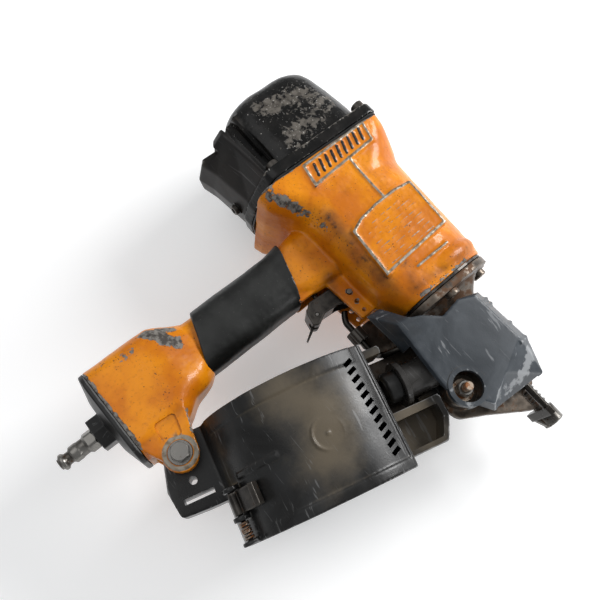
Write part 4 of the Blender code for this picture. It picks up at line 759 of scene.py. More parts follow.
LABEL_PAD = [(-35.3, -74.0), (-24.0, -70.0), (-8.0, -67.8), (10.0, -67.5), (25.3, -69.5)]
LABEL_PAD += [(23.3, -110.2), (-38.3, -113.8)]
MIDDLE_RIB = [(1.4, -30.5), (1.0, -69.0)]
LOWER_RIB = [(-17.0, -121.3), (13.0, -121.3)]
LABEL_SLOPE = 0.055
RIM = 1.15


def label_lines():
    """Eight rows of four plain dashes, which fill the label's frame in place of print. The first is short."""
    lines = []
    for row in range(8):
        indent, outdent = (7.0, 9.0) if row == 0 else (0.0, 0.0)
        left = -27.0 - 0.35 * row + indent
        wide = 17.0 - 0.3 * row - outdent - left
        height = -77.2 - 4.3 * row
        for dash in range(4):
            ends = left + wide * (dash / 4 + 0.02 * ((row * 3 + dash) % 3)), left + wide * (dash + 0.84) / 4
            lines.append([(x, height + LABEL_SLOPE * x) for x in ends])
    return lines


def name_bars():
    """Nine plain slanted bars, which fill the name frame in place of letters."""
    return [[(-25.4 + 5.6 * i, -28.6 + 0.34 * i), (-22.6 + 5.6 * i, -20.0 + 0.34 * i)] for i in range(9)]


def near_side(z):
    """The Y of the barrel's near face at a height."""
    rows = sorted(BARREL_ROWS)
    return -float(np.interp(z, [row[0] for row in rows], [row[3] for row in rows]))


def on_barrel(outline, lift, closed=True, steps=10):
    """The outline as a path that lies on the barrel's near face, raised by lift."""
    corners = outline + outline[:1] if closed else outline
    path = []
    for (x0, z0), (x1, z1) in zip(corners, corners[1:]):
        for step in range(steps):
            x, z = x0 + (x1 - x0) * step / steps, z0 + (z1 - z0) * step / steps
            path.append((x, near_side(z) - lift, z))
    if not closed:
        path.append((outline[-1][0], near_side(outline[-1][1]) - lift, outline[-1][1]))
    return path


def handle_rows(grow):
    """Stations of the handle, made thicker by grow all round."""
    wide, tall = 15.0 + grow, 19.0 + grow
    return [
        (x, -width, width, HANDLE_Z - low, HANDLE_Z + high, 10.0 + grow)
        for x, width, low, high in (
            (-30.0, wide + 5.0, tall + 6.0, tall + 6.0),
            (-60.0, wide + 4.0, tall + 5.0, tall + 4.5),
            (-72.0, wide + 2.5, tall + 3.7, tall + 2.0),
            (-86.0, wide, tall, tall),
            (-166.0, wide, tall, tall),
        )
    ]


BLOCK_ROWS = [
    (-160.0, -14.6, 14.6, -83.0, -42.0, BLOCK_CORNER),
    (-169.0, -19.0, 19.0, -89.0, -38.5, BLOCK_CORNER),
    (-182.0, -24.5, 24.5, -92.0, BLOCK_TOP, BLOCK_CORNER),
    (-196.0, -26.0, 26.0, BLOCK_BOTTOM, BLOCK_TOP, BLOCK_CORNER),
    (BLOCK_REAR, -26.0, 26.0, BLOCK_BOTTOM - 5.0, BLOCK_TOP, BLOCK_CORNER),
]


def barrel_relief():
    """The raised frames, ribs, dashes and bars on the barrel's near face."""
    shapes = [
        tube(on_barrel(NAME_FRAME, 0.3), RIM, 8, True),
        tube(on_barrel(LABEL_FRAME, 0.2), RIM, 8, True),
        tube(on_barrel(MIDDLE_RIB, 0.2, False), RIM, 8),
        tube(on_barrel(LOWER_RIB, 0.2, False), RIM, 8),
    ]
    shapes += [tube(on_barrel(line, 0.3, False, 3), 0.6, 8) for line in label_lines()]
    return shapes + [tube(on_barrel(line, 0.3, False, 3), 1.2, 8) for line in name_bars()]


def body_shapes():
    """The casting's solid shapes: barrel, handle core, end block, pads, lugs, cheeks and boss ears."""
    boss_outline = [(-190.5, -86.0), (-229.5, -98.0)] + arc(BOSS, BOSS_RADIUS, 165.0, 335.0, 30)
    cheek = rounded([(-42.0, -80.0), (-63.0, -84.0), (-59.0, -121.0), (-42.0, -121.0)], 1.5)
    barrel = loft([(height, bellied(*row)) for height, *row in eased(BARREL_ROWS)])
    shapes = [barrel, box_loft(handle_rows(0.0), "X"), box_loft(BLOCK_ROWS, "X")]
    shapes += [plate(LABEL_PAD, -45.8, -25.0, "Y"), plate(NAME_PAD, -48.6, -30.0, "Y")]
    lug = [(BARREL_BOTTOM, LUG_RADIUS, 0.0), (-135.0, 7.6, 0.0), (-130.0, 6.6, 1.2), (-120.0, 4.0, 4.6)]
    lug_x = NOSE_BOLTS[0][0]
    shapes.append(loft([(z, arc((lug_x - back, 0.0), radius, 0.0, 345.0, 23)) for z, radius, back in lug]))
    shapes.append(ball((6.0, -22.0, -130.0), (31.0, 24.5, 15.0)))
    shapes.append(block((-85.5, -12.8, -84.5), (-58.0, 12.8, -60.0)))
    for side in (-1, 1):
        low, high = sorted((side * 14.5, side * BOSS_SIDE))
        shapes.append(plate(boss_outline, low, high, "Y"))
        low, high = sorted((side * 9.3, side * 13.0))
        shapes.append(plate(cheek, low, high, "Y"))
    return shapes + [ring(BOSS_RADIUS, 7.9, -BOSS_SIDE - 0.2, -BOSS_SIDE + 4.0, BOSS, "Y")]


def body_cutters():
    """Everything bored or milled out of the casting, and the three flat faces that other pieces meet."""
    end_room = [
        (-188.0, section((-12.0, -72.4), (12.0, -52.4), 6.0)),
        (-200.0, section((-21.0, -93.0), (21.0, -37.0), 6.0)),
        (BLOCK_REAR - 4.0, section((-21.0, -95.0), (21.0, -37.0), 6.0)),
    ]
    cutters = [
        rod(37.0, BARREL_BOTTOM + 7.0, 10.0),
        rod(31.0, BARREL_BOTTOM - 5.0, 0.0),
        rod(12.5, BLOCK_REAR - 5.0, -20.0, (0.0, HANDLE_Z), "X"),
        loft(end_room, "X"),
        block((-92.0, -9.3, -125.0), (-50.3, 9.3, -79.5)),
        rod(6.5, -100.0, -50.0, (VALVE_X, 0.0)),
        rod(BOLT_HOLE, -40.0, 40.0, BOSS, "Y"),
        rod(2.3, -20.0, 20.0, TRIGGER_PIVOT, "Y"),
        rod(1.6, -20.0, 20.0, (TRIGGER_PIVOT[0] - 0.5, -108.6), "Y"),
        rod(1.6, -20.0, 20.0, (TRIGGER_PIVOT[0] - 0.5, -116.6), "Y"),
        block((-80.0, -60.0, BARREL_TOP), (60.0, 60.0, 10.0)),
        block((-80.0, -60.0, -160.0), (60.0, 60.0, BARREL_BOTTOM)),
        block((-250.0, -60.0, -130.0), (BLOCK_REAR, 60.0, -10.0)),
    ]
    cutters += [rod(BOLT_HOLE, -22.0, 10.0, at) for at in CAP_BOLTS]
    cutters += [rod(BOLT_HOLE, BARREL_BOTTOM - 4.0, -132.5, at) for at in NOSE_BOLTS]
    return cutters + [
        rod(2.3, BLOCK_REAR - 4.0, BLOCK_REAR + 12.0, (0.0, z), "X") for z in END_SCREW_HEIGHTS
    ]


def body_casting():
    piece = fused(make("body_casting", body_shapes() + barrel_relief()), 0.95)
    recess = rounded([(-200.0, -92.0), (-204.0, -107.0), (-216.5, -101.5), (-215.0, -91.0)], 2.6)
    carve(piece, [plate(recess, -40.0, -BOSS_SIDE + 1.2, "Y")])
    soften(piece, 3)
    applied(piece)
    roughen(piece, 0.22, 9.0)
    roughen(piece, 0.10, 2.6, 7.0)
    carve(piece, body_cutters())
    mark_edges(piece)
    raised = [
        (on_barrel(NAME_FRAME + NAME_FRAME[:1], 1.1, False), 1.5, 1.5),
        (on_barrel(LABEL_FRAME + LABEL_FRAME[:1], 1.1, False), 1.5, 1.5),
        (on_barrel(MIDDLE_RIB, 1.0, False), 1.4, 1.5),
        (on_barrel(LOWER_RIB, 1.0, False), 1.4, 1.3),
        ([(x, -BOSS_SIDE, z) for x, z in arc(BOSS, 9.8, 0.0, 360.0)], 2.6, 1.1),
    ]
    raised += [(on_barrel(line, 0.9, False, 1), 0.95, 0.8) for line in label_lines()]
    inked = [(on_barrel(line, 1.0, False, 1), 2.6, 1.0) for line in name_bars()]
    worn = [
        ([(-60.0, -44.0, -18.0), (-52.0, -42.0, -34.0), (-47.0, -40.0, -56.0)], 11.0, 0.74),
        ([(-66.0, -30.0, -16.0), (-56.0, -46.0, -15.0), (30.0, -49.0, -14.5)], 4.0, 0.65),
        ([(-34.0, -46.0, -34.0), (-20.0, -46.0, -36.0)], 8.0, 0.35),
        ([(-48.0, -38.0, -60.0), (-45.0, -38.0, -118.0)], 8.0, 0.42),
        ([(-60.0, -46.0, -16.0), (40.0, -49.0, -15.0)], 4.0, 0.4),
        ([(-226.0, -26.0, -36.0), (-196.0, -26.0, -44.0)], 12.0, 0.5),
        ([(-184.0, -25.0, -34.0), (-172.0, -19.0, -54.0)], 10.0, 0.95),
        ([(-176.0, -22.0, -38.0), (-168.0, -16.0, -44.0)], 8.0, 0.8),
        ([(-229.0, -24.0, -40.0), (-229.0, -26.0, -96.0)], 4.5, 0.75),
        ([(-192.0, -20.0, -92.0), (-198.0, -24.0, -108.0)], 5.0, 0.5),
        ([(30.0, -44.0, -125.0), (44.0, -30.0, -135.0)], 8.0, 0.35),
        ([(-30.0, -43.0, -137.0), (40.0, -42.0, -138.0)], 4.0, 0.6),
    ]
    # Darker orange-brown spots. The first three, on the rear half of the barrel's near face, are painted shade;
    # the others darken the barrel's lower edge by the nose, the underside by the trigger and the bottom of the end
    # block
    grime = [
        ([(-40.0, -44.0, -56.0), (-42.0, -42.0, -125.0)], 17.0, 0.60),
        ([(-18.0, -45.0, -48.0), (-30.0, -45.0, -66.0)], 16.0, 0.42),
        ([(-24.0, -45.0, -116.0), (-28.0, -45.0, -130.0)], 16.0, 0.5),
        ([(-30.0, -44.0, -132.0), (40.0, -42.0, -134.0)], 13.0, 0.62),
        ([(-60.0, -16.0, -85.0), (-66.0, -10.0, -100.0)], 16.0, 0.6),
        ([(-225.0, -26.0, -98.0), (-195.0, -26.0, -94.0)], 9.0, 0.45),
    ]
    mark_spots(piece, bare=raised, ink=inked, wear=worn, grime=grime)
    finish(piece, "orange", nodes=["housing"])


# Cap


def cap_casting():
    dome_rows = [
        (-4.0, -50.0, 43.0, -45.5, 45.5, 27.0),
        (22.0, -49.0, 41.0, -44.5, 44.5, 26.5),
        (46.0, -46.0, 37.5, -42.5, 42.5, 25.0),
        (54.0, -43.0, 34.5, -40.0, 40.0, 24.0),
        (59.0, -38.0, 30.0, -35.5, 35.5, 22.0),
        (62.5, -30.0, 23.0, -28.0, 28.0, 18.0),
        (64.0, -20.0, 14.0, -18.0, 18.0, 12.0),
    ]
    rear = [(-51.3, -4.0), (-30.0, -4.0), (-30.0, 52.0), (-44.0, 51.0), (-51.3, 44.0)]
    flange = plate(cap_outline(), CAP_BOTTOM, CAP_SEAT)
    shapes = [flange, box_loft(dome_rows), plate(rounded(rear, 2.5), -37.5, 37.5, "Y")]
    piece = fused(make("cap_casting", shapes), 0.9)
    wells = [rod(6.2, CAP_SEAT, 80.0, at) for at in CAP_BOLTS]
    slots = [block((-45.2, side - 6.5, 2.0), (-39.4, side + 6.5, 60.0)) for side in (-37.0, 37.0)]
    steps = [block((-60.0, side - 3.2, 8.0), (-47.0, side + 3.2, 38.0)) for side in (-38.4, 38.4)]
    carve(piece, wells + slots + steps)
    soften(piece, 4)
    applied(piece)
    roughen(piece, 0.30, 11.0, 3.0)
    roughen(piece, 0.10, 2.4, 5.0)
    cutters = [
        rod(36.5, -17.0, 40.0),
        rod(22.5, CAP_BOTTOM, 55.5),
        rod(9.0, -90.0, -20.0, (0.0, 26.0), "X"),
        rod(2.4, -60.0, -30.0, HOOD_SCREW, "X"),
        block((-90.0, -60.0, -30.0), (60.0, 60.0, CAP_BOTTOM)),
    ]
    carve(piece, cutters + [rod(BOLT_HOLE, -40.0, 20.0, at) for at in CAP_BOLTS])
    mark_edges(piece)
    worn = [
        ([(-18.0, -44.0, 8.0), (20.0, -44.0, 20.0), (12.0, -43.0, 34.0), (-14.0, -43.0, 38.0)], 26.0, 0.62),
        ([(-20.0, -36.0, 50.0), (20.0, -32.0, 54.0)], 14.0, 0.42),
        ([(-36.0, -30.0, 46.0), (-30.0, 0.0, 57.0)], 12.0, 0.35),
        ([(-60.0, -46.0, -4.0), (40.0, -49.0, -4.0)], 3.5, 0.5),
        ([(36.0, -30.0, 30.0), (38.0, 0.0, 40.0)], 18.0, 0.3),
    ]
    grime = [
        ([(-20.0, -34.0, 52.0), (26.0, -26.0, 56.0)], 12.0, 0.75),
        ([(-40.0, -36.0, 46.0), (-42.0, 10.0, 50.0)], 12.0, 0.6),
        ([(30.0, -44.0, -4.0), (34.0, -42.0, 20.0)], 12.0, 0.4),
    ]
    mark_spots(piece, wear=worn, grime=grime)
    finish(piece, "cap", nodes=["cap"])


def both_sides(half):
    """An outline from its half, which starts on the middle plane. Each point has its own corner radius."""
    return rounded([(x, -y, r) for x, y, r in half] + [(x, y, r) for x, y, r in reversed(half[1:])], 0.0)


def cap_outline():
    return both_sides([(-71.0, 0.0, 0.0), (-68.0, 18.0, 6.0), (-53.0, 49.5, 9.0), (46.0, 49.5, 8.0)])


def hood_section(corner, side, rear_corner, rear):
    """The hood's plan, which bulges to the rear. It runs well inside the cap, and is cut off there."""
    return both_sides([(rear, 0.0, 0.0), (rear_corner, 17.0, 6.0), (corner, side, 4.0), (-30.0, side, 0.0)])


def exhaust_hood():
    outside = [
        (-2.7, hood_section(-52.0, 44.0, -66.5, -69.0)),
        (30.0, hood_section(-53.5, 41.0, -70.5, -73.5)),
        (43.0, hood_section(-54.5, 39.5, -74.0, -77.5)),
        (48.0, hood_section(-52.5, 37.5, -69.0, -72.0)),
    ]
    inside = [
        (-10.7, hood_section(-50.5, 40.5, -63.0, -65.5)),
        (30.0, hood_section(-51.5, 37.5, -67.0, -70.0)),
        (42.0, hood_section(-51.5, 35.5, -63.0, -66.0)),
    ]
    piece = fused(make("hood_moulding", [loft(outside)]), 0.8, 6)
    carve(piece, [loft(inside), block((-51.6, -60.0, -20.0), (-20.0, 60.0, 60.0))])
    carve(piece, [rod(5.0, -70.5, -53.0, HOOD_SCREW, "X")], "UNION")
    carve(piece, [rod(2.6, -90.0, -40.0, HOOD_SCREW, "X")])
    carve(piece, [block((-71.0, y - 8.0, 38.0), (-58.0, y + 8.0, 60.0)) for y in (-22.0, 0.0, 22.0)])
    mark_edges(piece)
    worn = [([(-76.0, -36.0, 44.0), (-70.0, -36.0, 0.0)], 5.0, 0.5)]
    grime = [([(-74.0, -20.0, 46.0), (-60.0, -20.0, 47.0)], 12.0, 0.6)]
    mark_spots(piece, wear=worn, grime=grime)
    finish(piece, "hood", nodes=["exhaust_hood"])


# Handle


def slanted(ends, height):
    """The point at a height on the slanted end of the grip. ends are its X at the top and at the bottom."""
    top, bottom = ends
    share = (height - HANDLE_Z) / GRIP_TALL
    return ((top + bottom) / 2 + (top - bottom) * share, height)


def grip():
    """The rubber sleeve, cut off on a slant at both ends."""
    piece = make("grip_rubber_sleeve", [box_loft(handle_rows(3.0), "X", 10)])
    front, rear = (-71.5, -84.0), (-150.5, -166.0)
    low, high = HANDLE_Z - 80.0, HANDLE_Z + 80.0
    front_cut = [slanted(front, high), slanted(front, low), (20.0, low), (20.0, high)]
    rear_cut = [slanted(rear, high), (-260.0, high), (-260.0, low), slanted(rear, low)]
    carve(piece, [plate(front_cut, -40.0, 40.0, "Y"), plate(rear_cut, -40.0, 40.0, "Y")])
    fused(piece, 0.7, 5)
    roughen(piece, 0.45, 16.0, 2.0)
    roughen(piece, 0.12, 3.5, 9.0)
    core = [(x * 1.02 + 1.4, *rest) for x, *rest in handle_rows(0.2)]
    carve(piece, [box_loft(core, "X")])
    mark_edges(piece)
    mark_spots(piece, wear=[([(-150.0, -17.0, -50.0), (-90.0, -17.0, -46.0)], 9.0, 0.35)])
    finish(piece, "rubber", nodes=["grip_sleeve"])


def inlet():
    """The end cap with its two screw wells, and the quick-connect plug in its hex boss."""
    front = BLOCK_REAR - GAP
    rows = [
        (front, section((-26.0, -105.0), (26.0, BLOCK_TOP), BLOCK_CORNER)),
        (front - 3.5, section((-25.6, -104.6), (25.6, BLOCK_TOP - 0.4), BLOCK_CORNER)),
        (front - 7.5, section((-15.0, PLUG_Z - 20.0), (15.0, PLUG_Z + 20.0), 12.0)),
    ]
    root = front - 17.0
    piece = make("inlet_cap", [loft(rows, "X"), rod(12.6, root, front - 4.0, (0.0, PLUG_Z), "X", 6)])
    fused(piece, 0.6, 3)
    holes = [rod(5.2, -300.0, -200.0, (0.0, PLUG_Z), "X")]
    for z in END_SCREW_HEIGHTS:
        holes += [rod(2.4, -300.0, -200.0, (0.0, z), "X"), rod(4.4, -300.0, front - 3.0, (0.0, z), "X")]
    carve(piece, holes)
    mark_edges(piece)
    mark_spots(piece, wear=[([(front, -26.0, -38.0), (front, -26.0, -100.0)], 4.0, 0.6)])
    finish(piece, "black_plastic", nodes=["end_cap"])
    steps = [(2.4, 12.0), (4.6, 12.0), (4.6, -0.3), (6.6, -0.4), (7.2, -1.0), (7.2, -6.2), (6.8, -6.6)]
    steps += [(5.6, -8.0), (5.6, -12.0), (5.8, -12.4), (6.0, -13.2), (6.0, -17.2), (5.7, -17.8)]
    steps += [(4.4, -18.9), (4.2, -19.4), (4.2, -21.6), (4.5, -22.2), (5.6, -23.2), (5.8, -23.8)]
    steps += [(5.8, -25.1), (5.5, -25.6), (4.2, -26.4), (3.9, -26.8), (3.9, -27.3), (3.6, -27.5)]
    steps += [(2.7, -27.5), (2.4, -27.2)]
    plug = make("air_plug_turned", [turned([(r, root + h) for r, h in steps], (0.0, PLUG_Z), "X", 72)])
    flats = []
    for i in range(6):
        turn = radians(60.0 * i)
        centre = Vector((0.0, PLUG_Z)) + Vector((cos(turn), sin(turn))) * (6.55 + 5.0)
        across = Vector((-sin(turn), cos(turn))) * 8.0
        out = Vector((cos(turn), sin(turn))) * 5.0
        corners = [centre - out - across, centre + out - across, centre + out + across, centre - out + across]
        flats.append(plate(corners, root - 6.4, root - 0.2, "X"))
    carve(plug, flats)
    mark_edges(plug)
    finish(plug, "steel", nodes=["air_plug"])


# Trigger


def trigger():
    """The folded trigger blade, with its own pin and the one that carries the trip lever."""
    outline = [(-50.4, -95.0), (-59.0, -88.5), (-80.0, -87.0), (-86.5, -92.5), (-88.5, -102.0)]
    outline += [(-84.5, -104.5), (-76.0, -100.5), (-64.0, -101.5), (-54.0, -105.5), (-50.2, -104.0)]
    inner = [(-40.0, -80.0), (-79.0, -80.0), (-84.0, -92.5), (-85.3, -102.2), (-81.0, -101.0)]
    inner += [(-76.0, -98.9), (-67.8, -99.5), (-67.8, -115.0), (-40.0, -115.0)]
    piece = make("trigger_blade", [plate(rounded(outline, 2.0), -8.5, 8.5, "Y")])
    fused(piece, 0.45, 6)
    cutters = [
        plate(inner, -6.8, 6.8, "Y"),
        block((-95.0, -2.6, -106.0), (-80.5, 2.6, -98.0)),
        rod(2.3, -30.0, 30.0, TRIGGER_PIVOT, "Y"),
        rod(1.7, -30.0, 30.0, LEVER_PIVOT, "Y"),
    ]
    carve(piece, cutters)
    mark_edges(piece)
    finish(piece, "dark_steel", "trigger_body", ["trigger"])
    for name, radius, reach, at, body in (
        ("trigger_pin", 2.0, 14.5, TRIGGER_PIVOT, "root"),
        ("lever_pin", 1.4, 8.5, LEVER_PIVOT, "trigger_body"),
    ):
        half = [(0.0, reach), (radius - 0.3, reach), (radius, reach - 0.3)]
        profile = [(r, -x) for r, x in half] + half[::-1]
        pin = make(f"{name}_turned", [turned(profile, at, "Y", 32)])
        finish(mark_edges(pin), "steel", body, [name])


# Nose


def nose():
    """The steel nose: flange, tapered neck, tip, feed plate, lugs for the door and guard for the wire."""
    neck = [
        (NOSE_FLANGE_LOW + 1.0, -22.0, 32.0, -24.0, 24.0, 11.0),
        (-154.0, -17.0, 23.0, -17.0, 17.0, 9.0),
        (-166.0, -14.0, 15.0, -12.5, 12.5, 5.0),
        (-222.0, -14.0, 14.0, -12.0, 12.0, 5.0),
        (-230.0, -8.0, 8.0, -8.0, 8.0, 4.0),
        (-233.0, -6.0, 6.0, -6.0, 6.0, 3.0),
    ]
    arm = [(-62.0, -196.0, 9.0), (-60.5, -214.0, 9.0), (-42.0, -225.0, 6.0), (-15.0, -243.5, 2.0)]
    arm += [(-13.0, -242.0, 0.5), (-13.0, -231.0, 1.0), (-4.0, -229.0, 1.0), (-4.0, -190.0, 1.0)]
    arm.append((-40.0, -190.0, 6.0))
    lugs = rounded([(-37.5, -181.0), (-45.0, -208.5), (-8.0, -208.5), (-8.0, -181.0)], 2.0)
    shapes = [
        plate(bellied(*BARREL_ROWS[0][1:]), NOSE_FLANGE_LOW, NOSE_TOP),
        rod(LUG_RADIUS, NOSE_FLANGE_LOW, NOSE_TOP, NOSE_BOLTS[0]),
        plate(WIRE_GUARD, 6.9, 9.6, "Y"),
        box_loft(neck, steps=3),
        rod(5.2, -252.0, -228.0),
        plate(rounded(arm, 5.0), -21.0, -15.5, "Y"),
        block((-19.0, -20.5, -228.0), (-4.5, -10.0, -192.0)),
        rod(11.0, NEAR_BOSS, -16.5, NOSE_BOLT, "Y"),
        plate(lugs, 9.0, 19.5, "Y"),
    ]
    piece = fused(make("nose_forging", shapes), 0.8, 3)
    roughen(piece, 0.12, 4.0)
    cutters = [
        rod(3.8, -300.0, -100.0),
        block((-50.0, -5.2, -228.0), (0.0, 5.2, -158.0)),
        block((-60.0, 4.0, -202.5), (-15.5, 40.0, -186.5)),
        rod(STUD_HOLE, -40.0, 0.0, NOSE_BOLT, "Y"),
        from_magazine(rod(2.3, -30.0, 30.0, DOOR_HINGE)),
    ]
    carve(piece, cutters + [rod(BOLT_HOLE, -200.0, -100.0, at) for at in NOSE_BOLTS])
    mark_edges(piece)
    mark_spots(piece, grime=[([(0.0, -30.0, -145.0), (0.0, -14.0, -170.0)], 30.0, 0.6)])
    finish(piece, "brown_steel", nodes=["nose_casting"])


def from_magazine(shape):
    """A shape given in the magazine's frame, in the tool's."""
    change = TOOL_TO_MAGAZINE.inverted()
    points, faces = shape
    return [tuple(change @ (Vector(point) * MM) / MM) for point in points], faces


def shrunk(points, by):
    """The outline moved inward by a wall thickness. The points run clockwise."""
    moved = []
    for i, point in enumerate(points):
        here = Vector(point)
        before = (here - Vector(points[i - 1])).normalized()
        after = (Vector(points[(i + 1) % len(points)]) - here).normalized()
        along = (before + after).normalized()
        moved.append((here.x + along.y * by, here.y - along.x * by))
    return moved


SHIELD_NEAR = [(-55, -142), (-46, -143), (-38.5, -147), (-27, -157), (-11, -155), (1, -161)]
SHIELD_NEAR += [(3, -200), (-22, -211), (-43, -221), (-60, -194), (-56, -152)]
SHIELD_MIDDLE = [(-62, -123.5), (-51, -125), (-41, -150), (-25, -158), (-4, -156), (12, -160)]
SHIELD_MIDDLE += [(15, -205), (5, -230), (-40, -226), (-60, -194), (-60, -150)]
SHIELD_INNER = [(-62, -123.5), (-51, -125), (-41, -150), (-25, -158), (2, -157), (21, -160)]
SHIELD_INNER += [(23, -207), (12, -231), (-38, -227), (-60, -194), (-60, -150)]


def shield():
    """The moulded cover over the contact arm and the feed cylinder."""
    ribs = []
    for share in (0.04, 0.14, 0.56, 0.88):
        x, z = 4.5 + 1.5 * share, -165.0 - 44.0 * share
        ribs.append(tube([(x - 4.6, -41.4, z), (x + 7.6, -29.0, z - 0.4), (x + 9.4, -26.5, z - 0.4)], 1.5, 8))
    shapes = [loft([(-42.0, SHIELD_NEAR), (-28.0, SHIELD_MIDDLE), (-7.0, SHIELD_INNER)], "Y"), *ribs]
    piece = fused(make("shield_moulding", shapes), 0.8, 3)
    carve(piece, [ring(13.4, 10.4, -42.6, -34.0, NOSE_BOLT, "Y")], "UNION")
    levels = ((-39.5, SHIELD_NEAR), (-27.0, SHIELD_MIDDLE), (10.0, SHIELD_INNER))
    cutters = [
        loft([(y, shrunk(outline, 2.6)) for y, outline in levels], "Y"),
        rod(10.4, -50.0, -31.0, NOSE_BOLT, "Y", 64),
        rod(13.0, -32.0, 0.0, NOSE_BOLT, "Y", 64),
        block((-70.0, -29.3, -250.0), (0.0, 2.0, -186.3)),
        block((-2.0, -28.7, -251.0), (15.7, 3.0, -221.3)),
        block((-2.0, -14.5, -222.0), (15.9, 3.0, -205.0)),
        block((-26.3, -25.3, -171.0), (34.0, 4.0, -140.0)),
        block((-80.0, -26.6, -161.7), (-53.3, 5.0, -115.0)),
        block((-90.0, -38.5, -212.0), (-52.0, 6.0, -158.0)),
    ]
    carve(piece, cutters)
    mark_edges(piece)
    worn = [
        ([(6.0, -34.0, -212.0), (-14.0, -36.0, -222.0), (-34.0, -38.0, -222.0)], 13.0, 0.85),
        ([(2.0, -42.0, -162.0), (4.0, -42.0, -204.0)], 3.5, 0.5),
        ([(-40.0, -42.0, -222.0), (-4.0, -42.0, -227.0)], 3.5, 0.55),
    ]
    grime = [
        ([(-58.0, -34.0, -140.0), (-50.0, -36.0, -148.0)], 14.0, 0.6),
        ([(NOSE_BOLT[0], -40.0, NOSE_BOLT[1])], 17.0, 0.5),
    ]
    mark_spots(piece, wear=worn, grime=grime)
    finish(piece, "cover", nodes=["nose_shield"])


def contact_arm():
    """The toothed foot on its bent, blackened wire, and the notched wheel that sets the depth."""
    wire = [(-8.8, -24.0, -249.0), (-8.8, -24.0, -214.0), (-30.0, -24.0, -178.0), (-52.0, -24.0, -156.0)]
    wire += [(WIRE_X, -14.0, -150.0), (WIRE_X, 0.0, -144.0), (WIRE_X, 0.0, -115.0), (-61.5, 0.0, -107.0)]
    foot = [(-7.1, -252.5), (-7.1, -246.5), (-11.5, -246.5), (-11.5, -252.5)]
    web = [(-7.1, FOOT_TIP + 1.0), (-7.1, -252.0), (-11.0, -252.0)]
    shapes = [
        ring(7.6, 5.0, FOOT_TIP, -250.0, bevel=0.3),
        plate(foot, -26.6, 3.0, "Y"),
        plate(web, -2.0, 2.0, "Y"),
        tube(flowing(wire), 2.4, 16),
    ]
    piece = fused(make("contact_foot", shapes), 0.42, 3)
    low, high = FOOT_TIP - 1.0, FOOT_TIP + 1.4
    teeth = [block((-20.0, y - 0.7, low), (20.0, y + 0.7, high)) for y in (-4.4, 0.0, 4.4)]
    carve(piece, [rod(5.7, -270.0, -245.0), *teeth])
    mark_edges(piece)
    sooty = [(-8.8, -24.0, -235.0), (-30.0, -24.0, -178.0), (WIRE_X, -14.0, -150.0), (-61.5, 0.0, -107.0)]
    store(piece, "soot", np.clip(nearness(piece, [(sooty, 60.0, 2.0)]) - 0.9, 0.0, 1.0))
    finish(piece, "steel", "contact_arm_body", ["contact_arm"])
    dial = make("depth_wheel", [ring(6.4, 2.7, -132.0, -122.0, (WIRE_X, 0.0), bevel=0.4)])
    turns = [2 * pi * i / 8 for i in range(8)]
    notches = [rod(1.5, -140.0, -110.0, (WIRE_X + 7.2 * cos(t), 7.2 * sin(t)), segments=16) for t in turns]
    carve(dial, notches)
    finish(mark_edges(dial), "dark_steel", "depth_dial_body", ["depth_dial"])


# Magazine, in its own frame


def rim_angle(x, radius=DRUM):
    """The angle at which a circle round the drum's axis crosses x, in degrees."""
    return degrees(acos(x / radius))


def drum_inside():
    """The drum's hollow, closed at the front by its flat wall."""
    edge = rim_angle(DRUM_FRONT - DRUM_WALL, DRUM - DRUM_WALL)
    reach = DRUM_HALF - DRUM_WALL
    return plate(arc((0.0, 0.0), DRUM - DRUM_WALL, edge, 360.0 - edge, 110), -reach, reach)


def drum_band(radius, low, high, start, end):
    """A raised strip round part of the drum."""
    outline = arc((0.0, 0.0), radius, start, end, 60) + arc((0.0, 0.0), DRUM - 1.5, end, start, 60)
    return plate(outline, low, high)


def magazine_spot(at):
    """A place on the tool's side, given in the tool's frame, in the magazine's."""
    place = TOOL_TO_MAGAZINE @ (Vector((at[0], 0.0, at[1])) * MM)
    return place.x / MM, place.z / MM


def rim_point(radius, angle):
    """A point round the drum's axis, with the angle in degrees."""
    return radius * cos(radians(angle)), radius * sin(radians(angle))


NAIL_EXIT = block((30.0, -6.2, -33.5), (DRUM_FRONT + 10.0, 9.7, 33.5))


def viewing_slots():
    """Twelve slanted slots in a row along the front of the drum, through which the nails are seen."""
    slots = []
    turn = Matrix.Rotation(radians(23.0), 2)
    for i in range(12):
        centre = Vector((25.5 + 3.7 * i / 11, 31.0 - 58.0 * i / 11))
        corners = ((-3.3, -1.4), (3.3, -1.4), (3.3, 1.4), (-3.3, 1.4))
        slots.append(plate([centre + turn @ Vector(corner) for corner in corners], -72.0, -56.0, "Y"))
    return slots


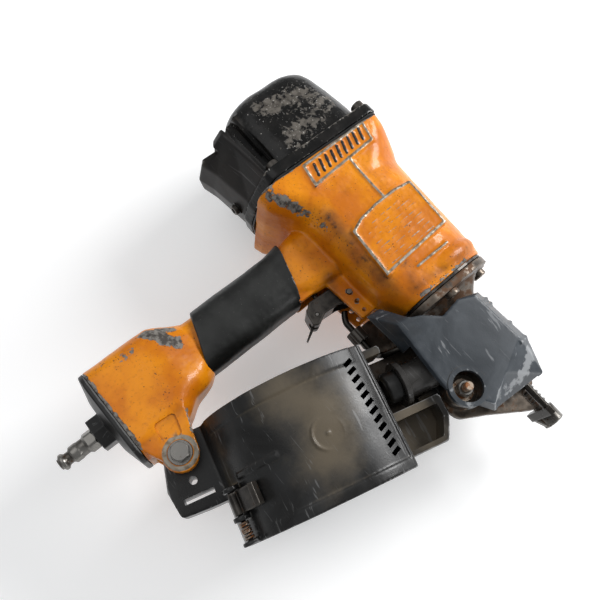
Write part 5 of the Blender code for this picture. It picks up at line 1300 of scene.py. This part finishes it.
def canister():
    """The near half of the drum, with its bracket at the rear and its frame at the front."""
    front, rear = rim_angle(DRUM_FRONT), rim_angle(REAR_SPLIT - GAP)
    outline = [(DRUM_FRONT, -GAP)] + arc((0.0, 0.0), DRUM, -front, rear - 360.0, 120)
    outline.append((REAR_SPLIT - GAP, -GAP))
    bracket = [(-60.0, 40.0, 0.0), (-72.0, 39.9, 3.0), (-88.0, 40.0, 8.0), (-97.0, 29.0, 8.0)]
    bracket += [(-101.5, 9.2, 4.0), (-98.5, -8.6, 3.0), (-80.5, -9.7, 1.0), (-60.0, -10.0, 0.0)]
    front_frame = [(36.0, 40.0), (58.5, 40.0), (58.5, 34.0), (42.0, 34.0), (42.0, -5.0), (81.0, -5.0)]
    front_frame += [(81.0, -21.0), (73.0, -35.0), (36.0, -35.0)]
    tongue = [(72.0, -1.0, 0.0), (72.0, -20.0, 0.0), (97.0, -20.5, 10.0), (107.0, -9.6, 8.0)]
    tongue.append((97.0, 1.0, 10.0))
    shapes = [
        plate(outline, -DRUM_HALF, DRUM_HALF),
        plate(rounded(bracket, 3.0), -13.8, 13.8, "Y"),
        plate(rounded(front_frame, 1.5), -30.0, -9.5, "Y"),
        plate(rounded(tongue, 9.0), -15.2, -11.6, "Y"),
        drum_band(DRUM + 0.7, 31.0, DRUM_HALF, 200.0, 296.0),
        drum_band(DRUM + 0.7, -DRUM_HALF, -34.0, 225.0, 302.0),
        drum_band(DRUM + 0.8, -2.2, 0.4, 212.0, 240.0),
        drum_band(DRUM + 0.9, -DRUM_HALF, DRUM_HALF, 301.5, 303.8),
        ring(10.0, 8.9, -69.0, -60.0, (-4.0, -2.0), "Y"),
        rod(1.0, -69.8, -60.0, (-4.0, -2.0), "Y"),
    ]
    for side in (-1, 1):
        low, high = sorted((side * 14.0, side * 22.0))
        shapes.append(rod(KNUCKLE, low, high, COVER_HINGE))
    catch = rim_point(CATCH_RADIUS, CATCH_ANGLE)
    shapes += [rod(5.2, low, high, catch) for low, high in ((-7.4, -4.4), (-25.0, -22.0), (-39.5, -37.0))]
    shapes.append(rod(1.2, -39.0, -5.0, catch))
    piece = fused(make("canister_half", shapes, MAGAZINE), 0.75, 2)
    roughen(piece, 0.12, 14.0, 4.0)
    pocket = rounded([(45.0, -10.5), (45.0, -31.0), (71.0, -31.0), (77.0, -20.0), (77.0, -10.5)], 1.5)
    cutters = [
        drum_inside(),
        NAIL_EXIT,
        plate(pocket, -40.0, -13.0, "Y"),
        rod(BOLT_HOLE, -40.0, 40.0, magazine_spot(BOSS), "Y"),
        rod(STUD_HOLE, -40.0, 0.0, magazine_spot(NOSE_BOLT), "Y"),
        block((-94.0, -40.0, -2.0), (-74.0, 40.0, 1.5)),
        rod(2.6, -40.0, 40.0, (-84.1, 10.1), "Y"),
        rod(KNUCKLE_ROOM, -13.6, 13.6, COVER_HINGE),
        rod(2.1, -30.0, 30.0, COVER_HINGE),
    ]
    carve(piece, cutters + viewing_slots())
    mark_edges(piece)
    worn = [
        ([(DRUM_FRONT, -57.0, -38.0), (DRUM_FRONT, -57.0, 38.0)], 3.5, 0.5),
        ([(58.0, -29.0, 38.0), (42.0, -29.0, 36.0), (42.0, -29.0, -4.0), (80.0, -29.0, -6.0)], 4.0, 0.45),
        ([(80.0, -29.0, -20.0), (73.0, -29.0, -34.0), (40.0, -29.0, -34.0)], 4.0, 0.5),
        ([(-97.0, -14.0, 28.0), (-101.0, -14.0, 8.0)], 4.0, 0.45),
        ([(-40.0, -55.0, -39.0), (30.0, -61.0, -39.0)], 2.8, 0.4),
    ]
    grime = [
        ([(-20.0, -66.0, 30.0), (0.0, -69.0, 12.0), (-10.0, -68.0, -12.0)], 34.0, 0.85),
        ([(50.0, -13.0, 20.0), (60.0, -14.0, -25.0)], 34.0, 1.25),
        ([(-60.0, -30.0, 30.0), (-62.0, -20.0, -30.0)], 15.0, 0.4),
    ]
    mark_spots(piece, wear=worn, grime=grime)
    finish(piece, "canister", nodes=["magazine_housing"])


def canister_cover():
    """The far half of the drum, which swings open on its knuckle. The knuckle is kept clear of the hollow."""
    front, rear = rim_angle(DRUM_FRONT), rim_angle(REAR_SPLIT)
    outline = [(DRUM_FRONT, GAP), (REAR_SPLIT, GAP)] + arc((0.0, 0.0), DRUM, rear, front, 80)
    shapes = [plate(outline, -DRUM_HALF, DRUM_HALF), rod(KNUCKLE, -13.0, 13.0, COVER_HINGE)]
    piece = fused(make("canister_door", shapes, MAGAZINE), 0.85, 2)
    inside = carve(make("door_inside", [drum_inside()], MAGAZINE), [rod(4.9, -13.5, 13.5, COVER_HINGE)])
    change = piece.modifiers.new("inside", "BOOLEAN")
    change.solver = "MANIFOLD"
    change.object = inside
    bpy.context.view_layer.update()
    applied(piece)
    bpy.data.objects.remove(inside, do_unlink=True)
    knuckles = [rod(KNUCKLE_ROOM, low, high, COVER_HINGE) for low, high in ((-22.4, -13.6), (13.6, 22.4))]
    carve(piece, [NAIL_EXIT, *knuckles, rod(2.1, -30.0, 30.0, COVER_HINGE)])
    mark_edges(piece)
    finish(piece, "canister", "magazine_cover_body", ["magazine_cover"])


def feed():
    """The feed cylinder with its flange and foot, and the ribbed cap on its rear end."""
    profile = [(12.0, 64.0), (12.0, 85.7), (11.5, 86.2), (3.4, 86.2), (3.4, 84.5), (10.0, 84.5), (10.0, 60.0)]
    profile += [(15.1, 60.0), (15.5, 60.4), (15.5, 63.6), (15.1, 64.0)]
    body = make("feed_cylinder_turned", [turned(profile, FEED_AXIS, "X", 80)], MAGAZINE)
    carve(body, [block((66.0, -14.5, 4.0), (84.0, -8.8, 18.0))], "UNION")
    carve(body, [rod(10.0, 50.0, 84.5, FEED_AXIS, "X", 80)])
    finish(mark_edges(body), "feed", nodes=["feed_cylinder"])
    cap = [(0.0, 63.0), (9.6, 63.0), (9.6, 59.7), (10.5, 59.7), (10.8, 59.4), (10.8, 52.2), (10.2, 51.0)]
    cap += [(9.0, 50.2), (7.6, 50.0), (7.2, 51.6), (0.0, 51.6)]
    lid = make("feed_cap_turned", [turned(cap, FEED_AXIS, "X", 80)], MAGAZINE)
    finish(mark_edges(lid), "black_plastic", nodes=["feed_cap"])


def canister_latch():
    """The latch that holds the drum's cover shut, and the spring on its pin."""
    catch = rim_point(CATCH_RADIUS, CATCH_ANGLE)
    band = arc((0.0, 0.0), DRUM + 3.7, 209.0, 222.0, 16) + [rim_point(79.0, 224.0), rim_point(78.0, 226.5)]
    band += arc((0.0, 0.0), DRUM + 1.0, 224.0, 209.0, 16)
    piece = make("latch_blade", [plate(band, -21.5, -7.8), rod(3.3, -21.5, -7.8, catch)], MAGAZINE)
    fused(piece, 0.4, 2)
    carve(piece, [rod(1.5, -30.0, 0.0, catch)])
    finish(mark_edges(piece), "dark_steel", "canister_latch_body", ["canister_latch"])
    spring = make("latch_coil", [coil(2.6, -36.0, -26.2, 7, (*catch, 0.0), "Z", 0.55)], MAGAZINE)
    finish(spring, "rusty_steel", nodes=["latch_spring"])


# Fasteners and springs


def hex_piece(name, radius, low, high, at, hole=0.0, shank=None):
    """A hex nut, or with a shank a bolt, with its corners turned down at both ends."""
    piece = make(name, [rod(radius, low, high, at, "Y", 6)])
    flat = radius * cos(pi / 6)
    rim = [(0.0, low), (flat - 0.2, low), (radius, low + 0.8)]
    rim += [(radius, high - 0.8), (flat - 0.2, high), (0.0, high)]
    carve(piece, [turned(rim, at, "Y", 64)], "INTERSECT")
    if hole:
        carve(piece, [rod(hole, low - 5.0, high + 5.0, at, "Y")])
    if shank:
        carve(piece, [shank], "UNION")
    return mark_edges(piece)


def cap_screw(name, node, at, seat, tip, axis="Z", radius=2.9, head=(4.9, 5.5), look="dark_steel"):
    """A socket-head screw. seat is where the underside of its head rests, and tip is its far end."""
    wide, tall = head
    away = 1.0 if seat > tip else -1.0
    top = seat + away * tall
    profile = [(0.0, tip), (radius - 0.4, tip), (radius, tip + away * 0.6), (radius, seat + away * 0.3)]
    profile += [(wide, seat + away * 0.3), (wide, top - away * 0.6), (wide - 0.6, top), (0.0, top)]
    piece = make(name, [turned(profile, at, axis, 48)])
    low, high = sorted((top - away * tall * 0.55, top + away))
    carve(piece, [rod(wide * 0.55, low, high, at, axis, 6)])
    finish(mark_edges(piece), look, nodes=[node])


def fasteners():
    """The cap, hood, nose and inlet screws, and the two bolts that hold the magazine."""
    for i, at in enumerate(CAP_BOLTS, 1):
        cap_screw(f"cap_screw_{i}", f"cap_bolt_{i}", at, CAP_SEAT, -21.0)
    cap_screw("hood_screw_turned", "hood_screw", HOOD_SCREW, -70.5, -42.0, "X", 2.1, (4.0, 3.0))
    for i, at in enumerate(NOSE_BOLTS, 1):
        names = f"nose_screw_{i}", f"nose_bolt_{i}"
        cap_screw(*names, at, NOSE_FLANGE_LOW, -133.5, head=(5.2, 4.2), look="brown_steel")
    for i, z in enumerate(END_SCREW_HEIGHTS, 1):
        cap_screw(f"inlet_screw_{i}", f"end_cap_screw_{i}", (0.0, z), -233.3, -221.0, "X", 2.0, (3.6, 2.6))
    rear_bolt()
    front_bolt()


def rear_bolt():
    """The hex bolt through the ears of the end block, with its washer and nut."""
    face = -BOSS_SIDE - GAP
    washer = make("rear_washer_turned", [ring(7.8, 3.3, face - 1.6, face, BOSS, "Y", bevel=0.35)])
    finish(mark_edges(washer), "steel", nodes=["rear_washer"])
    profile = [(0.0, face - 3.0), (2.9, face - 3.0), (2.9, 33.6), (2.5, 34.0), (0.0, 34.0)]
    shank = turned(profile, BOSS, "Y", 48)
    bolt = hex_piece("rear_bolt_head", 6.4, face - 8.0, face - 1.9, BOSS, shank=shank)
    finish(bolt, "steel", nodes=["magazine_bolt_rear"])
    nut = hex_piece("rear_nut_turned", 6.4, -face, -face + 6.0, BOSS, 3.3)
    finish(nut, "dark_steel", nodes=["rear_nut"])


def front_bolt():
    """The threaded stud at the nose, with its washer and nut."""
    low, high = NEAR_BOSS - 1.9, NEAR_BOSS - GAP
    washer = make("front_washer_turned", [ring(7.6, STUD_HOLE, low, high, NOSE_BOLT, "Y", bevel=0.35)])
    finish(mark_edges(washer), "rusty_steel", nodes=["front_washer"])
    nut = hex_piece("front_nut_turned", 5.6, -38.0, NEAR_BOSS - 2.2, NOSE_BOLT, STUD_HOLE)
    finish(nut, "steel", nodes=["front_nut"])
    profile = [(0.0, -44.3), (2.6, -44.3), (3.1, -43.7)]
    for i in range(7):
        profile += [(3.1, -43.5 + i), (2.75, -43.0 + i)]
    profile += [(3.1, -36.0), (3.1, -11.3), (5.4, -11.3), (5.4, -9.0), (5.0, -8.8), (0.0, -8.8)]
    stud = make("front_stud", [turned(profile, NOSE_BOLT, "Y", 48)])
    finish(mark_edges(stud), "rusty_steel", nodes=["magazine_bolt_front"])


def springs():
    """Coil springs round their axes, and the trigger's, which only twists. Those that ride a joint get a mesh of
    their own.
    """
    # Each row: node, (radius, start, end, turns), axis line, axis, wire radius, frame, then the joint,
    # the anchor's place on the axis and the share of the length left at the limit
    middle, stem = (0.0, 0.0), (VALVE_X, 0.0)
    rows = [
        ("head_valve_spring", (25.2, 13.9, 38.4, 4), middle, "Z", 1.2, TOOL, "head_valve_lift", 40.0, 0.67),
        ("valve_spring", (3.4, -70.5, -55.6, 5), stem, "Z", 0.45, TOOL, "valve_stem_slide", -55.0, 0.81),
        ("contact_spring", (6.1, -248.7, -234.2, 4), middle, "Z", 0.5, TOOL, "contact_arm_slide", -233.9, 0.31),
        ("feed_spring", (7.2, 64.3, 75.8, 4), FEED_AXIS, "X", 0.8, MAGAZINE, "feed_stroke", 64.0, 0.22),
        ("trigger_spring", (3.3, -5.6, 5.6, 5), TRIGGER_PIVOT, "Y", 0.5, TOOL, None, 0.0, 1.0),
    ]
    for node, size, line, axis, wire, where, joint, anchor, keep in rows:
        piece = make(f"{node}_wire", [coil(*size, PLANES[axis](*line, 0.0), axis, wire)], where)
        finish(piece, "steel", nodes=[node])
        if joint:
            direction = where.to_3x3() @ Vector(PLANES[axis](0.0, 0.0, 1.0))
            fixed = where @ (Vector(PLANES[axis](*line, anchor)) * MM)
            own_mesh(piece)


# Studio


def studio():
    """A pale floor that glows a little, under a plain sky."""
    floor = bpy.data.materials.new("floor")
    floor.use_nodes = True
    shader = floor.node_tree.nodes["Principled BSDF"]
    shader.inputs["Base Color"].default_value = (0.86, 0.86, 0.86, 1.0)
    shader.inputs["Roughness"].default_value = 0.9
    shader.inputs["Emission Color"].default_value = (1.0, 1.0, 1.0, 1.0)
    shader.inputs["Emission Strength"].default_value = FLOOR_GLOW
    mesh = bpy.data.meshes.new("floor")
    corners = [(x * FLOOR_HALF, y * FLOOR_HALF, 0.0) for x, y in ((-1, -1), (1, -1), (1, 1), (-1, 1))]
    mesh.from_pydata(corners, [], [(0, 1, 2, 3)])
    mesh.materials.append(floor)
    ground = bpy.data.objects.new("floor", mesh)
    bpy.context.scene.collection.objects.link(ground)
    world = bpy.data.worlds.new("studio")
    world.use_nodes = True
    background = world.node_tree.nodes["Background"]
    background.inputs["Color"].default_value = (0.96, 0.98, 1.0, 1.0)
    background.inputs["Strength"].default_value = WORLD_STRENGTH
    bpy.context.scene.world = world
    bpy.context.scene.view_settings.view_transform = "Standard"


def camera_and_lights():
    """The camera, turned off the near side and rolled so that the barrel leans, and lights round its view."""
    turn, rise, roll = radians(CAMERA_TURN), radians(CAMERA_RISE), radians(CAMERA_ROLL)
    back = Vector((-sin(turn) * cos(rise), -cos(turn) * cos(rise), sin(rise)))
    right = Vector((cos(turn), -sin(turn), 0.0))
    up = back.cross(right)
    across = right * sin(roll) - up * cos(roll)
    upward = right * cos(roll) + up * sin(roll)
    view = TOOL @ Matrix.Translation(CAMERA_AIM) @ Matrix((across, upward, back)).transposed().to_4x4()
    data = bpy.data.cameras.new("camera")
    data.lens = LENS
    data.sensor_width = SENSOR
    data.clip_start = 0.01
    camera = bpy.data.objects.new("camera", data)
    bpy.context.scene.collection.objects.link(camera)
    camera.matrix_world = view @ Matrix.Translation((0.0, 0.0, CAMERA_DISTANCE))
    bpy.context.scene.camera = camera
    for name, place, size, power in LIGHTS:
        lamp = bpy.data.lights.new(name, "AREA")
        lamp.size = size
        lamp.energy = power
        light = bpy.data.objects.new(name, lamp)
        bpy.context.scene.collection.objects.link(light)
        light.location = view @ Vector(place)
        aim = view.translation - light.location
        light.rotation_euler = aim.to_track_quat("-Z", "Y").to_euler()


studio()
camera_and_lights()
dress_nodes()
body_casting()
cap_casting()
exhaust_hood()
grip()
inlet()
trigger()
nose()
shield()
contact_arm()
canister()
canister_cover()
feed()
canister_latch()
fasteners()
springs()
